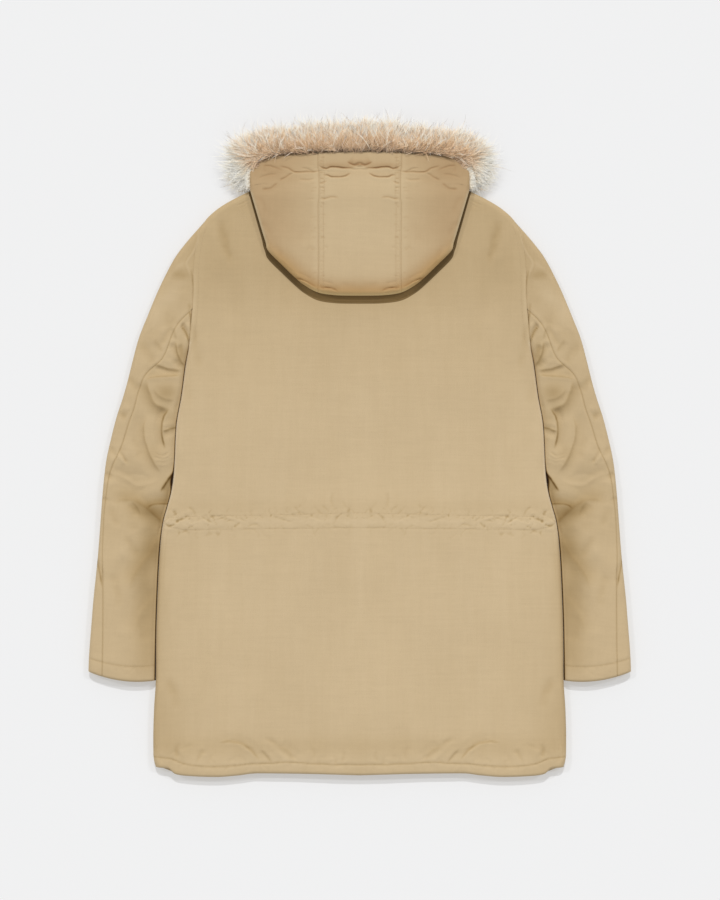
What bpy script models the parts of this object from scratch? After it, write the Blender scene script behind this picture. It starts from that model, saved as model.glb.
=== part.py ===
"""Fur trimmed parka laid flat on its front, closed, the hood folded back over the shoulders.

Frame: millimetres in the tables, metres in the scene. x runs across the coat, y up from the hem
to the hood, z up from the floor that the fronts lie on. Every outline is given as the distance
from the coat's centre line at a level above the hem, and the right half mirrors the left.
"""
import bmesh
import bpy
import math
import numpy as np

# ---------------------------------------------------------------- driving dimensions, mm
MM = 0.001
WALL = 7.0             # shell, wadding and lining of body and sleeves, pressed together
EDGE_HEIGHT = 16.5     # floor to top of the body and sleeves beside a folded edge
CROWN = 1.6            # how much higher the middle of a panel stands than its edges
SEAM = 0.4             # gap between pieces sewn to each other
SIDE_GAP = 1.2         # gap between the body's side and the sleeve lying beside it
EDGE_R = EDGE_HEIGHT / 2
MID = EDGE_HEIGHT / 2  # level where back and fronts meet at a side
HOOD_WALL = 5.5
HOOD_HEIGHT = 13.0     # the folded hood's own thickness near its edge
HOOD_CROWN = 1.6
HOOD_CLEAR = 0.6       # hood over the back
FLAP_HALF = 35.0       # storm flap half width
FLAP_THICK = 3.0
FLAP_CLEAR = 0.4
ARMPIT = 631.5
SHOULDER_TIP = 806.9
SLEEVE_TOP = 796.0     # first full section of the sleeve
UNDER_TOP = 676.0      # first full section of the under sleeve
CUFF = 140.0
NECK = 872.2           # neck point, level
NECK_HALF = 109.8
NECK_DROP_BACK = 33.4
NECK_DROP_FRONT = 93.0
LENGTH = 965.0         # hem to the fur's reach
Y_SHIFT = LENGTH / 2   # the origin is under the middle of the coat's box

# Body edge and armhole seam: level, half width.
BODY_EDGE = (
    (0.0, 292.0), (14.0, 293.5), (24.0, 297.0), (57.0, 299.3), (98.0, 298.8), (138.5, 296.8),
    (200.8, 296.2), (273.3, 293.9), (342.9, 289.6), (372.0, 285.5), (390.8, 280.3), (416.9, 273.6),
    (443.0, 270.3), (509.7, 266.8), (554.6, 259.1), (598.1, 253.3), (631.5, 247.5), (660.5, 244.6),
    (685.1, 242.4), (706.9, 241.7), (728.6, 241.7), (750.4, 240.3), (772.1, 237.4), (791.0, 233.0),
    (806.9, 225.8), (824.3, 208.4), (851.9, 159.1), (872.2, 109.8),
)
# Outer edge of the sleeve: level, distance from the centre line.
SLEEVE_EDGE = (
    (140.0, 394.7), (160.2, 394.0), (248.7, 388.2), (321.2, 380.9), (382.1, 376.3), (405.3, 374.6),
    (456.0, 369.3), (492.3, 361.6), (522.7, 353.8), (547.4, 345.7), (570.6, 338.9), (605.4, 330.2),
    (635.8, 322.0), (670.6, 308.4), (705.4, 293.9), (731.5, 281.4), (756.2, 267.8), (776.5, 252.4),
    (806.9, 225.8),
)
# Back seam of the sleeve, where top sleeve and under sleeve meet: level, distance.
SLEEVE_SEAM = (
    (137.0, 374.0), (200.8, 372.9), (266.1, 372.6), (321.2, 373.6), (344.4, 373.0), (382.1, 371.2),
    (409.6, 368.0), (437.2, 363.8), (453.1, 358.4), (467.6, 351.5), (479.2, 346.1), (511.1, 336.2),
    (537.2, 327.0), (559.0, 321.5), (566.2, 318.9), (579.3, 313.8), (588.7, 307.0), (595.2, 299.5),
    (607.6, 286.6), (619.2, 280.6), (641.6, 272.6), (656.9, 264.6), (679.3, 243.2),
)
# Hidden front seam of the sleeve: level, distance in from the sleeve's inner edge.
FRONT_SEAM = ((137.0, 34.0), (600.0, 34.0), (631.5, 28.0), (660.5, 15.0), (676.0, 4.0), (679.3, 0.0))
# Rise of the hem's edge above its lowest point: distance from the centre line, rise.
HEM_RISE = ((0.0, 2.5), (75.0, 4.5), (149.6, 5.2), (176.5, 2.2), (208.4, 0.0), (251.9, 1.6),
            (267.8, 4.1), (279.0, 12.5), (300.0, 13.8))
# Hood opening edge, from the middle round the corner to where it passes under: distance, level.
BRIM = ((0.0, 908.4), (61.9, 906.9), (106.1, 904.0), (138.0, 899.7), (157.6, 889.6))
HOOD_SIDE = ((157.6, 889.6), (162.6, 875.1), (160.7, 856.0), (159.1, 851.9), (143.1, 793.9),
             (137.3, 775.0), (133.7, 762.0))
HOOD_FOLD = ((133.7, 762.0), (114.0, 742.4), (94.5, 722.8), (80.0, 711.5), (60.5, 701.8),
             (34.4, 698.7), (0.0, 698.2))
HOOD_SEAM_TOP, HOOD_SEAM_FOLD = 61.2, 60.5   # centre panel's half width at opening and fold
# Fur: root on the hood's edge and the reach of its tips, level each, and how full it is there.
FUR = (
    # root_x, root_y, tip_x, tip_y, fullness
    (161.6, 857.0, 169.2, 857.0, 0.35), (163.8, 866.0, 181.0, 866.0, 0.60),
    (163.6, 875.0, 193.0, 880.0, 0.80), (161.6, 883.0, 198.0, 897.0, 0.90),
    (158.8, 890.4, 189.0, 917.0, 1.00), (149.0, 896.0, 168.0, 927.0, 1.00),
    (138.3, 900.6, 147.0, 932.5, 1.00), (121.0, 903.2, 126.0, 939.0, 1.00),
    (106.2, 904.9, 109.0, 944.0, 1.00), (84.0, 906.6, 86.0, 951.0, 1.00),
    (62.0, 907.8, 63.0, 957.7, 1.00), (31.0, 908.9, 31.5, 963.3, 1.00),
    (0.0, 909.3, 0.0, 965.0, 1.00),
)
FUR_TOP_Z = (12.0, 33.0)     # upper half of the trim: lowest and highest
FUR_UNDER_Z = (0.0, 6.0)     # lower half, pressed by the upper
# Largest folds of the left sleeve and the back: start, end, half width, height (a trough is negative).
FOLDS = (
    # x0, y0, x1, y1, half_width, height
    (357.0, 441.5, 322.9, 429.9, 16.0, -1.8), (322.9, 429.9, 272.0, 442.0, 16.0, -1.8),
    (340.0, 462.0, 300.0, 455.0, 18.0, 1.8), (349.0, 402.4, 322.9, 396.6, 14.0, -1.6),
    (322.9, 396.6, 296.8, 373.4, 14.0, -1.6), (311.0, 520.0, 306.0, 470.0, 14.0, -1.6),
    (286.0, 530.0, 284.0, 482.0, 12.0, -1.6), (310.0, 320.0, 318.0, 210.0, 16.0, -1.4),
    (198.0, 716.0, 184.0, 680.0, 18.0, -1.4),
)
WAIST_LINES = (   # the two stitch lines of the waist channel: level at the centre, at the side
    (384.0, 377.5), (362.6, 361.0),
)


# ---------------------------------------------------------------- rules for the shapes
def smooth(lo, hi, x):
    t = min(1.0, max(0.0, (x - lo) / (hi - lo)))
    return t * t * (3 - 2 * t)


def curve(rows, cols=(0, 1)):
    """A table's two columns as a smooth function with no overshoot (Fritsch and Carlson)."""
    data = sorted((r[cols[0]], r[cols[1]]) for r in rows)
    x = np.array([d[0] for d in data])
    y = np.array([d[1] for d in data])
    h = np.diff(x)
    slope = np.diff(y) / h
    m = np.zeros(len(x))
    m[0], m[-1] = slope[0], slope[-1]
    for i in range(1, len(x) - 1):
        if slope[i - 1] * slope[i] > 0:
            w1, w2 = 2 * h[i] + h[i - 1], h[i] + 2 * h[i - 1]
            m[i] = (w1 + w2) / (w1 / slope[i - 1] + w2 / slope[i])

    def at(v):
        v = min(max(v, x[0]), x[-1])
        i = min(max(int(np.searchsorted(x, v)) - 1, 0), len(x) - 2)
        t = (v - x[i]) / h[i]
        return ((1 + 2 * t) * (1 - t) ** 2 * y[i] + t * (1 - t) ** 2 * h[i] * m[i]
                + t * t * (3 - 2 * t) * y[i + 1] + t * t * (t - 1) * h[i] * m[i + 1])
    return at


body_half = curve(BODY_EDGE)
sleeve_outer = curve(SLEEVE_EDGE)
seam_line = curve(SLEEVE_SEAM)
front_seam_in = curve(FRONT_SEAM)
hem_rise = curve(HEM_RISE)
brim_level = curve(BRIM)


def silhouette(level):
    """The coat's own outer edge above the armpit: sleeve edge, then shoulder."""
    return sleeve_outer(level) if level < SHOULDER_TIP else body_half(level)


def inner_edge(level):
    """The sleeve's edge beside the body, or its armhole seam."""
    gap = SEAM + (SIDE_GAP - SEAM) * (1 - smooth(600.0, ARMPIT, level))
    return body_half(level) + gap


def side_lift(level):
    """1 where body and sleeve run on into each other at the armhole, 0 at a folded side."""
    return smooth(612.0, 640.0, level)


def stretch(edge, level):
    """How much wider a folded edge's rounding is across than square to the edge."""
    slope = (edge(level + 2.0) - edge(level - 2.0)) / 4.0
    return min(2.6, math.sqrt(1 + slope * slope))


def round_off(d, r):
    q = min(1.0, max(0.0, 1 - d / r))
    return math.sqrt(1 - q * q), q


def fold_height(a, y):
    """Sum of the folds in the table: each a soft trough or ridge along a line."""
    h = 0.0
    for x0, y0, x1, y1, half, height in FOLDS:
        dx, dy = x1 - x0, y1 - y0
        t = min(1.0, max(0.0, ((a - x0) * dx + (y - y0) * dy) / (dx * dx + dy * dy)))
        d = math.hypot(a - x0 - t * dx, y - y0 - t * dy)
        h += height * math.exp(-(d / half) ** 2)
    for centre, side in WAIST_LINES:
        if a < body_half(370.0) - 2:
            line = side + (centre - side) * (1 - min(1.0, a / 200.0)) ** 2
            h -= 1.4 * math.exp(-((y - line) / 5.0) ** 2)
    return max(h, -2.0)


def top_height(region, a, level):
    if region == "body":
        u = min(1.0, a / body_half(level))
        return EDGE_HEIGHT + CROWN * (1 - u * u) + fold_height(a, level) * (1 if level > 60 else 0)
    lo, hi = inner_edge(level), sleeve_outer(level)
    u = min(1.0, max(0.0, (a - lo) / max(hi - lo, 1.0)))
    return EDGE_HEIGHT + CROWN * 4 * u * (1 - u) * smooth(0, 60, hi - lo) + fold_height(a, level)


def flap_room(a):
    """The fronts ride over the storm flap in the middle."""
    return (FLAP_THICK + FLAP_CLEAR) * (1 - smooth(FLAP_HALF + 1.0, FLAP_HALF + 11.0, a))


def layer(region, a, level, upper, room=False):
    """A point outside and one inside a layer of cloth: distance from the centre line and height."""
    edges = []
    if region == "body":
        if level >= ARMPIT:
            edges.append((silhouette(level), 1, 0.0, stretch(silhouette, level)))
        if level < SHOULDER_TIP:
            edges.append((body_half(level), 1, side_lift(level), stretch(body_half, level)))
    else:
        edges.append((sleeve_outer(level), 1, 0.0, stretch(sleeve_outer, level)))
        edges.append((inner_edge(level), -1, side_lift(level), stretch(inner_edge, level)))
    sine, shift = 1.0, 0.0
    for edge, out, lift, k in edges:
        s, c = round_off((edge - a) * out, EDGE_R * k)
        sine = min(sine, s + (1 - s) * lift)
        shift -= out * WALL * k * c * (1 - lift)
    if upper:
        flat = top_height(region, a, level)
        inside = flat - WALL
    else:
        flat = flap_room(a) if room else 0.0
        inside = flat + WALL
    return (a, MID + (flat - MID) * sine), (a + shift, MID + (inside - MID) * sine)


def across(edge, out, k, reach, count, arcs=3):
    """Places from a folded edge inwards: a few round the edge, the rest spread over the flat."""
    quarter = EDGE_R * math.pi / 2
    r = EDGE_R * k
    total = EDGE_R * math.acos(max(0.0, 1 - reach / r)) if reach < r else quarter + reach - r
    w = min(1.0, max(0.0, (total - quarter) / 20.0))
    places = []
    for i in range(count + 1):
        even = total * i / count
        if i <= arcs:
            natural = quarter * i / arcs
        else:
            natural = quarter + (total - quarter) * (i - arcs) / (count - arcs)
        s = even + (natural - even) * w
        if s < quarter:
            d = r * (1 - math.cos(s / EDGE_R))
        else:
            d = r + s - quarter
        places.append(edge - out * min(d, reach))
    return places


# ---------------------------------------------------------------- making solids
MATERIALS = {}


def material(name, colour, roughness):
    m = bpy.data.materials.new(name)
    m.use_nodes = True
    p = m.node_tree.nodes["Principled BSDF"]
    p.inputs["Base Color"].default_value = (*colour, 1.0)
    p.inputs["Roughness"].default_value = roughness
    p.inputs["Metallic"].default_value = 0.0
    return m


def to_object(name, verts, faces, mat):
    mesh = bpy.data.meshes.new(name)
    mesh.from_pydata([(x * MM, (y - Y_SHIFT) * MM, z * MM) for x, y, z in verts], [], faces)
    obj = bpy.data.objects.new(name, mesh)
    bpy.context.scene.collection.objects.link(obj)
    bm = bmesh.new()
    bm.from_mesh(mesh)
    bmesh.ops.recalc_face_normals(bm, faces=bm.faces)
    bmesh.ops.triangulate(bm, faces=bm.faces)
    bm.to_mesh(mesh)
    bm.free()
    mesh.materials.append(mat)
    mesh.shade_smooth()
    mesh.set_sharp_from_angle(angle=math.radians(40))
    return obj


def wall(name, outside, inside, cells, mat, mirror):
    """A closed wall of cloth between two skins. outside and inside map a key to a point, cells are
    quads of keys, and every open edge of the skin gets a rim. mirror is -1 for the left half."""
    keys = sorted({k for c in cells for k in c})
    index = {k: i for i, k in enumerate(keys)}
    n = len(keys)
    verts = [outside[k] for k in keys] + [inside[k] for k in keys]
    verts = [(x * mirror, y, z) for x, y, z in verts]
    faces, directed = [], {}
    for c in cells:
        f = [index[k] for k in c]
        faces.append(tuple(f))
        faces.append(tuple(n + i for i in reversed(f)))
        for p, q in zip(f, f[1:] + f[:1]):
            directed[(p, q)] = True
    for p, q in list(directed):
        if (q, p) not in directed:
            faces.append((q, p, n + p, n + q))
    return to_object(name, verts, faces, mat)


def grid_cells(rows, cols, skip=lambda j, i: False, key=lambda j, i: (j, i)):
    return [(key(j, i), key(j, i + 1), key(j + 1, i + 1), key(j + 1, i))
            for j in range(rows - 1) for i in range(cols - 1) if not skip(j, i)]


# ---------------------------------------------------------------- body
BODY_LEVELS = (0, 14, 30, 60, 110, 170, 240, 310, 352, 361, 370, 380.5, 392, 417, 443, 490, 540, 598.1,
               631.5, 660.5, 676, 679.3, 706.9, 728.6, 750.4, 772.1, 791, 796, 806.9, 824.3, 840, 856, 872.2)
FRONT_LEVELS = (0, 14, 30, 60, 110, 170, 240, 310, 352, 380.5, 417, 443, 490, 540, 598.1,
                631.5, 660.5, 676, 679.3, 706.9, 728.6, 750.4, 772.1, 791, 796, 806.9, 824.3, 848, 872.2)
SLEEVE_LEVELS = (140, 165, 200, 240, 310, 352, 380.5, 404, 417, 430, 443, 467.6, 490, 515, 540, 566, 598.1,
                 631.5, 660.5, 676, 679.3, 706.9, 728.6, 750.4, 772.1, 791, 796)


def back_y(level, a):
    y = level
    if level > 780:
        y -= NECK_DROP_BACK * max(0.0, 1 - (a / NECK_HALF) ** 2) * smooth(780, NECK, level)
    if level < 60:
        y += hem_rise(a) * (1 - level / 60.0)
    return y


def front_y(level, a):
    y = level
    if level > 640:
        y -= NECK_DROP_FRONT * max(0.0, 1 - (a / NECK_HALF) ** 2) * smooth(640, NECK, level)
    if level < 60:
        y += hem_rise(a) * (1 - level / 60.0)
    return y


def sleeve_y(level, a):
    w = 1 - smooth(CUFF, 230, level)
    lo, hi = inner_edge(level), sleeve_outer(level)
    u = min(1.0, max(0.0, (a - lo) / (hi - lo)))
    return level + (13.0 * u * u - 14.0 * u * (1 - u)) * w


def make_back(mat):
    out, ins = {}, {}
    half = 8
    for j, level in enumerate(BODY_LEVELS):
        edge = body_half(level)
        k = stretch(body_half, level) if (level < ARMPIT or level >= SHOULDER_TIP) else 1.0
        places = across(edge, 1, k, edge, half)
        for i, a in enumerate(places):
            (xo, zo), (xi, zi) = layer("body", a, level, True)
            zo, zi = max(zo, MID + SEAM / 2), max(zi, MID + SEAM / 2)
            for side, col in ((-1, i), (1, 2 * half - i)):
                if i == half and side == 1:
                    continue
                out[(j, col)] = (side * xo, back_y(level, xo), zo)
                ins[(j, col)] = (side * xi, back_y(level, xi), zi)
    wall("back", out, ins, grid_cells(len(BODY_LEVELS), 2 * half + 1), mat, 1)


def make_front(mirror, name, mat):
    out, ins = {}, {}
    for j, level in enumerate(FRONT_LEVELS):
        edge = body_half(level)
        k = stretch(body_half, level) if (level < ARMPIT or level >= SHOULDER_TIP) else 1.0
        places = across(edge, 1, k, edge - (FLAP_HALF + 11.0), 5) + [FLAP_HALF + 1.0, SEAM / 2]
        for i, a in enumerate(places):
            (xo, zo), (xi, zi) = layer("body", a, level, False, True)
            zo, zi = min(zo, MID - SEAM / 2), min(zi, MID - SEAM / 2)
            out[(j, i)] = (xo, front_y(level, xo), zo)
            xi = max(xi, SEAM / 2)
            ins[(j, i)] = (xi, front_y(level, xi), zi)
    wall(name, out, ins, grid_cells(len(FRONT_LEVELS), len(places)), mat, mirror)


def make_flap(mat):
    rows = (2.0, 200.0, 400.0, 600.0, NECK - NECK_DROP_FRONT - 3.0)
    out, ins = {}, {}
    for j, y in enumerate(rows):
        for i, a in enumerate((-FLAP_HALF, 0.0, FLAP_HALF)):
            out[(j, i)] = (a, y + (3.0 if j == 0 else 0.0), 0.0)
            ins[(j, i)] = (a, y + (3.0 if j == 0 else 0.0), FLAP_THICK)
    wall("front_flap", out, ins, grid_cells(len(rows), 3), mat, 1)


# ---------------------------------------------------------------- sleeves
def seam_place(level):
    """Back seam's place on the sleeve's upper layer."""
    return inner_edge(level) if level >= 679.0 else seam_line(level)


def make_top_sleeve(mirror, name, mat):
    out, ins = {}, {}
    up, low = 4, 6
    levels = SLEEVE_LEVELS
    for j, level in enumerate(levels):
        edge, k = sleeve_outer(level), stretch(sleeve_outer, level)
        gap = SEAM / 2 if level < 679.0 else 0.0
        upper = across(edge, 1, k, edge - seam_place(level) - gap, up)
        inner = inner_edge(level) + front_seam_in(min(level, 679.3)) + gap
        lower = across(edge, 1, k, edge - inner, low)
        for i, a in enumerate(reversed(upper)):
            (xo, zo), (xi, zi) = layer("sleeve", a, level, True)
            out[(j, i)], ins[(j, i)] = (xo, sleeve_y(level, a), zo), (xi, sleeve_y(level, a), zi)
        for i, a in enumerate(lower[1:]):
            (xo, zo), (xi, zi) = layer("sleeve", a, level, False)
            c = up + 1 + i
            out[(j, c)], ins[(j, c)] = (xo, sleeve_y(level, a), zo), (xi, sleeve_y(level, a), zi)
    wall(name, out, ins, grid_cells(len(levels), up + low + 1), mat, mirror)


def make_under_sleeve(mirror, name, mat):
    out, ins = {}, {}
    up, low = 6, 4
    levels = [v for v in SLEEVE_LEVELS if v <= UNDER_TOP]
    first_fold = levels.index(ARMPIT)   # the fold beside the body runs from the cuff to the armpit
    for j, level in enumerate(levels):
        edge, k = inner_edge(level), stretch(inner_edge, level)
        upper = across(edge, -1, k, seam_place(level) - SEAM / 2 - edge, up)
        lower = across(edge, -1, k, front_seam_in(level) - SEAM / 2, low)
        for i, a in enumerate(reversed(upper)):
            (xo, zo), (xi, zi) = layer("sleeve", a, level, True)
            out[(j, i)], ins[(j, i)] = (xo, sleeve_y(level, a), zo), (xi, sleeve_y(level, a), zi)
        for i, a in enumerate(lower):
            (xo, zo), (xi, zi) = layer("sleeve", a, level, False)
            c = up + i
            if i == 0:
                if j <= first_fold:
                    # half way round the fold both layers share the middle point below the armpit
                    key_u, key_l = (j, c), (j, "low")
                    out[key_l], ins[key_l] = (xo, sleeve_y(level, a), zo), (xi, sleeve_y(level, a), zi)
                else:
                    out[(j, "low")], ins[(j, "low")] = ((xo, sleeve_y(level, a), zo),
                                                       (xi, sleeve_y(level, a), zi))
                continue
            out[(j, c)], ins[(j, c)] = (xo, sleeve_y(level, a), zo), (xi, sleeve_y(level, a), zi)

    def key(j, i, lower_side):
        if i == up and lower_side and j > first_fold:
            return (j, "low")
        return (j, i)
    cells = []
    for j in range(len(levels) - 1):
        for i in range(up + low):
            lower_side = i >= up
            cells.append((key(j, i, lower_side), key(j, i + 1, lower_side),
                          key(j + 1, i + 1, lower_side), key(j + 1, i, lower_side)))
    # keys hold numbers and the word low, so they are renamed to plain numbers
    names = {k: n for n, k in enumerate(sorted({k for c in cells for k in c}, key=str))}
    wall(name, {names[k]: v for k, v in out.items() if k in names},
         {names[k]: v for k, v in ins.items() if k in names},
         [tuple(names[k] for k in c) for c in cells], mat, mirror)


# ---------------------------------------------------------------- hood
HOOD_LOW = EDGE_HEIGHT + HOOD_CLEAR


def along(rows):
    """A polyline as a function of its share of length."""
    p = np.array(rows, float)
    s = np.concatenate([[0.0], np.cumsum(np.hypot(*np.diff(p, axis=0).T))])
    s /= s[-1]
    return lambda t: np.array([np.interp(t, s, p[:, 0]), np.interp(t, s, p[:, 1])])


def split_map(t, edge, seam):
    """Distance from the centre at share t: the seam is at 0.6 on every row."""
    return edge + (seam - edge) * t / 0.6 if t < 0.6 else seam * (1 - (t - 0.6) / 0.4)


def fold_level(a):
    return float(np.interp(a, [r[0] for r in reversed(HOOD_FOLD)], [r[1] for r in reversed(HOOD_FOLD)]))


def coons(top, bottom, left, right, u, v):
    corner = ((1 - u) * (1 - v) * top(0) + u * (1 - v) * top(1)
              + (1 - u) * v * bottom(0) + u * v * bottom(1))
    return (1 - v) * top(u) + v * bottom(u) + (1 - u) * left(v) + u * right(v) - corner


SPLIT = 3                                    # the first row of the side edge that lies on the back
side_above = along(HOOD_SIDE[:SPLIT + 1])
side_below = along(HOOD_SIDE[SPLIT:])
SPLIT_V = 0.3


def hood_left(v):
    return side_above(v / SPLIT_V) if v < SPLIT_V else side_below((v - SPLIT_V) / (1 - SPLIT_V))


def hood_top(u):
    a = split_map(u, BRIM[-1][0], HOOD_SEAM_TOP)
    return np.array([a, brim_level(a)])


def hood_bottom(u):
    a = split_map(u, HOOD_FOLD[0][0], HOOD_SEAM_FOLD)
    return np.array([a, fold_level(a)])


def hood_right(v):
    return np.array([0.0, BRIM[0][1] + (HOOD_FOLD[-1][1] - BRIM[0][1]) * v])


def nape_top(u):
    a = split_map(u, HOOD_SIDE[SPLIT][0], HOOD_SEAM_TOP)
    if a > NECK_HALF:
        rows = [r for r in BODY_EDGE if r[0] > 840]
        return np.array([a, float(np.interp(a, [r[1] for r in reversed(rows)],
                                            [r[0] for r in reversed(rows)]))])
    return np.array([a, NECK - NECK_DROP_BACK * (1 - (a / NECK_HALF) ** 2)])


def nape_right(v):
    return np.array([0.0, (NECK - NECK_DROP_BACK) + (HOOD_FOLD[-1][1] - NECK + NECK_DROP_BACK) * v])


OUTLINE = [np.array(p) for p in (*HOOD_SIDE, *HOOD_FOLD[1:])]


def nearest(points, p):
    best = (1e9, None)
    for q, r in zip(points, points[1:]):
        t = min(1.0, max(0.0, float(np.dot(p - q, r - q) / np.dot(r - q, r - q))))
        foot = q + t * (r - q)
        d = float(np.hypot(*(p - foot)))
        if d < best[0]:
            side = r - q
            best = (d, np.array([-side[1], side[0]]) / np.hypot(*side))
    d, n = best
    if np.dot(n, np.array([100.0, -60.0])) < 0:
        n = -n
    return d, n


def hood_mid(y):
    """Level of the folded edge's middle: on the back, and lower beyond the shoulders."""
    on_back = HOOD_LOW + HOOD_HEIGHT / 2
    return on_back + (8.2 - on_back) * smooth(846.0, 866.0, y)


def hood_upper(a, y):
    u = min(1.0, a / 160.0)
    return (HOOD_LOW + HOOD_HEIGHT + (CROWN + HOOD_CROWN) * (1 - u * u)
            - 9.5 * smooth(835.0, 912.0, y))


def hood_point(p, upper, throat=False):
    d, n = nearest(OUTLINE, p)
    y = p[1]
    mid = hood_mid(y)
    if throat:
        flat, inside, r = 0.0, HOOD_WALL, HOOD_WALL + 1.2
    elif upper:
        flat = hood_upper(p[0], y)
        inside, r = flat - HOOD_WALL, HOOD_HEIGHT / 2
    else:
        flat = top_height("body", p[0], min(y, 860.0)) + HOOD_CLEAR
        inside, r = flat + HOOD_WALL, HOOD_HEIGHT / 2
    s, c = round_off(d, r)
    q = p - n * HOOD_WALL * c
    return ((p[0], y, mid + (flat - mid) * s),
            (max(float(q[0]), 0.0) if not throat else max(float(q[0]), SEAM / 2), float(q[1]),
             mid + (inside - mid) * s))


HOOD_ROWS = (0.0, 0.1, 0.2, 0.3, 0.42, 0.56, 0.7, 0.83, 0.93, 0.968, 0.989, 1.0)
NAPE_ROWS = tuple((v - SPLIT_V) / (1 - SPLIT_V) for v in HOOD_ROWS if v >= SPLIT_V)
SIDE_COLS = (0.0, 0.0075, 0.024, 0.05, 0.15, 0.32, 0.6)
CENTRE_COLS = (0.6, 0.8, 1.0)


def make_hood(names, mats):
    """Side and centre panels. Each is the upper layer and the nape layer under it, joined by the fold."""
    first = HOOD_ROWS.index(SPLIT_V)
    rows = len(HOOD_ROWS)
    for part, cols in (("side", SIDE_COLS), ("centre", CENTRE_COLS)):
        out, ins = {}, {}
        for i, u in enumerate(cols):
            for j, v in enumerate(HOOD_ROWS):
                p = coons(hood_top, hood_bottom, hood_left, hood_right, u, v)
                out[(0, j, i)], ins[(0, j, i)] = hood_point(p, True)
            for j, v in enumerate(NAPE_ROWS):
                p = coons(nape_top, hood_bottom, side_below, nape_right, u, v)
                out[(1, j + first, i)], ins[(1, j + first, i)] = hood_point(p, False)

        def key(lay, j, i, part=part):
            on_fold = j == rows - 1 or (part == "side" and i == 0 and j >= first)
            return (0, j, i) if on_fold else (lay, j, i)
        cells = []
        for j in range(rows - 1):
            for i in range(len(cols) - 1):
                cells.append((key(0, j, i), key(0, j, i + 1), key(0, j + 1, i + 1), key(0, j + 1, i)))
                if j >= first:
                    cells.append((key(1, j + 1, i), key(1, j + 1, i + 1), key(1, j, i + 1), key(1, j, i)))
        if part == "side":
            last = len(cols) - 1
            for skin in (out, ins):     # the panel stops half a seam short of the centre panel
                for k, (x, y, z) in list(skin.items()):
                    if k[2] == last:
                        skin[k] = (x + 1.6 * SEAM, y, z)
            for mirror, name in ((-1, names[0]), (1, names[1])):
                wall(name, out, ins, cells, mats[mirror], mirror)
        else:
            full_out, full_ins, full_cells = {}, {}, []
            n = len(cols) - 1
            for skin, full in ((out, full_out), (ins, full_ins)):
                for (lay, j, i), (x, y, z) in skin.items():
                    full[(lay, j, i)] = (-x, y, z)
                    full[(lay, j, 2 * n - i)] = (x, y, z)
            for c in cells:
                full_cells.append(c)
                full_cells.append(tuple((lay, j, 2 * n - i) for lay, j, i in reversed(c)))
            wall(names[2], full_out, full_ins, full_cells, mats[0], 1)


THROAT_HALF = 158.0


def front_top_row():
    """The front neckline as the fronts' last row draws it, from the shoulder to the middle."""
    edge = body_half(NECK)
    places = across(edge, 1, stretch(body_half, NECK), edge - (FLAP_HALF + 11.0), 5)
    return [(a, front_y(NECK, a)) for a in places + [FLAP_HALF + 1.0, SEAM / 2]]


def throat_bottom(u):
    a = THROAT_HALF + (SEAM / 2 - THROAT_HALF) * u
    if a > NECK_HALF:
        rows = [r for r in BODY_EDGE if r[0] > 840]
        y = float(np.interp(a, [r[1] for r in reversed(rows)], [r[0] for r in reversed(rows)]))
        return np.array([a, y + 1.6])
    row = front_top_row()[::-1]
    return np.array([a, float(np.interp(a, [r[0] for r in row], [r[1] for r in row])) + 2 * SEAM])


def throat_top(u):
    a = BRIM[-1][0] + (SEAM / 2 - BRIM[-1][0]) * u
    return np.array([a, brim_level(a) - 0.5])


def make_throat(mirror, name, mat):
    left = along([(BRIM[-1][0], BRIM[-1][1] - 0.5), (162.6, 875.1), (160.9, 858.0), (158.0, 854.3)])
    right_top, right_low = throat_top(1.0), throat_bottom(1.0)
    right = lambda v: right_top + (right_low - right_top) * v
    out, ins = {}, {}
    rows = (0.0, 0.25, 0.5, 0.75, 1.0)
    cols = [0.0, 0.015, 0.05, 0.12] + [
        (THROAT_HALF - a) / (THROAT_HALF - SEAM / 2) for a, _ in front_top_row()]
    edge = [left(t) for t in np.linspace(0, 1, 7)]
    for j, v in enumerate(rows):
        for i, u in enumerate(cols):
            p = coons(throat_top, throat_bottom, left, right, u, v)
            d, n = nearest(edge, p)
            n = np.array([1.0, 0.0])
            r = HOOD_WALL + 1.2
            s, c = round_off(max(0.0, left(v)[0] - p[0]), r)
            mid = 7.4
            out[(j, i)] = (p[0], p[1], mid + (0.0 - mid) * s)
            ins[(j, i)] = (max(p[0] - HOOD_WALL * c, SEAM / 2), p[1], mid + (HOOD_WALL - mid) * s)
    wall(name, out, ins, grid_cells(len(rows), len(cols)), mat, mirror)


# ---------------------------------------------------------------- fur
def make_fur(name, mat, low, high, under):
    """A plain closed crescent of the fur's reach: a leaf-shaped section swept round the hood's edge."""
    if under:
        section = ((0.0, 0.0), (0.5, 0.0), (0.92, 0.0), (1.0, 0.45), (0.8, 1.0), (0.4, 1.0), (0.0, 0.9))
    else:
        section = ((0.0, 0.0), (0.45, 0.0), (0.8, 0.0), (0.97, 0.12), (1.0, 0.3), (0.88, 0.62),
                   (0.62, 0.92), (0.3, 1.0), (0.0, 0.78))
    stations = [(-r[0], r[1], -r[2], r[3], r[4]) for r in FUR[:-1]] + [FUR[-1]] + [
        r for r in reversed(FUR[:-1])]
    verts, faces = [], []
    n = len(section)
    for bx, by, tx, ty, full in stations:
        for f, h in section:
            verts.append((bx + (tx - bx) * f, by + (ty - by) * f, low + (high - low) * h * full))
    for s in range(len(stations) - 1):
        for i in range(n):
            a, b = s * n + i, s * n + (i + 1) % n
            faces.append((a, b, b + n, a + n))
    faces.append(tuple(range(n)))
    faces.append(tuple((len(stations) - 1) * n + i for i in reversed(range(n))))
    to_object(name, verts, faces, mat)


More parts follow.
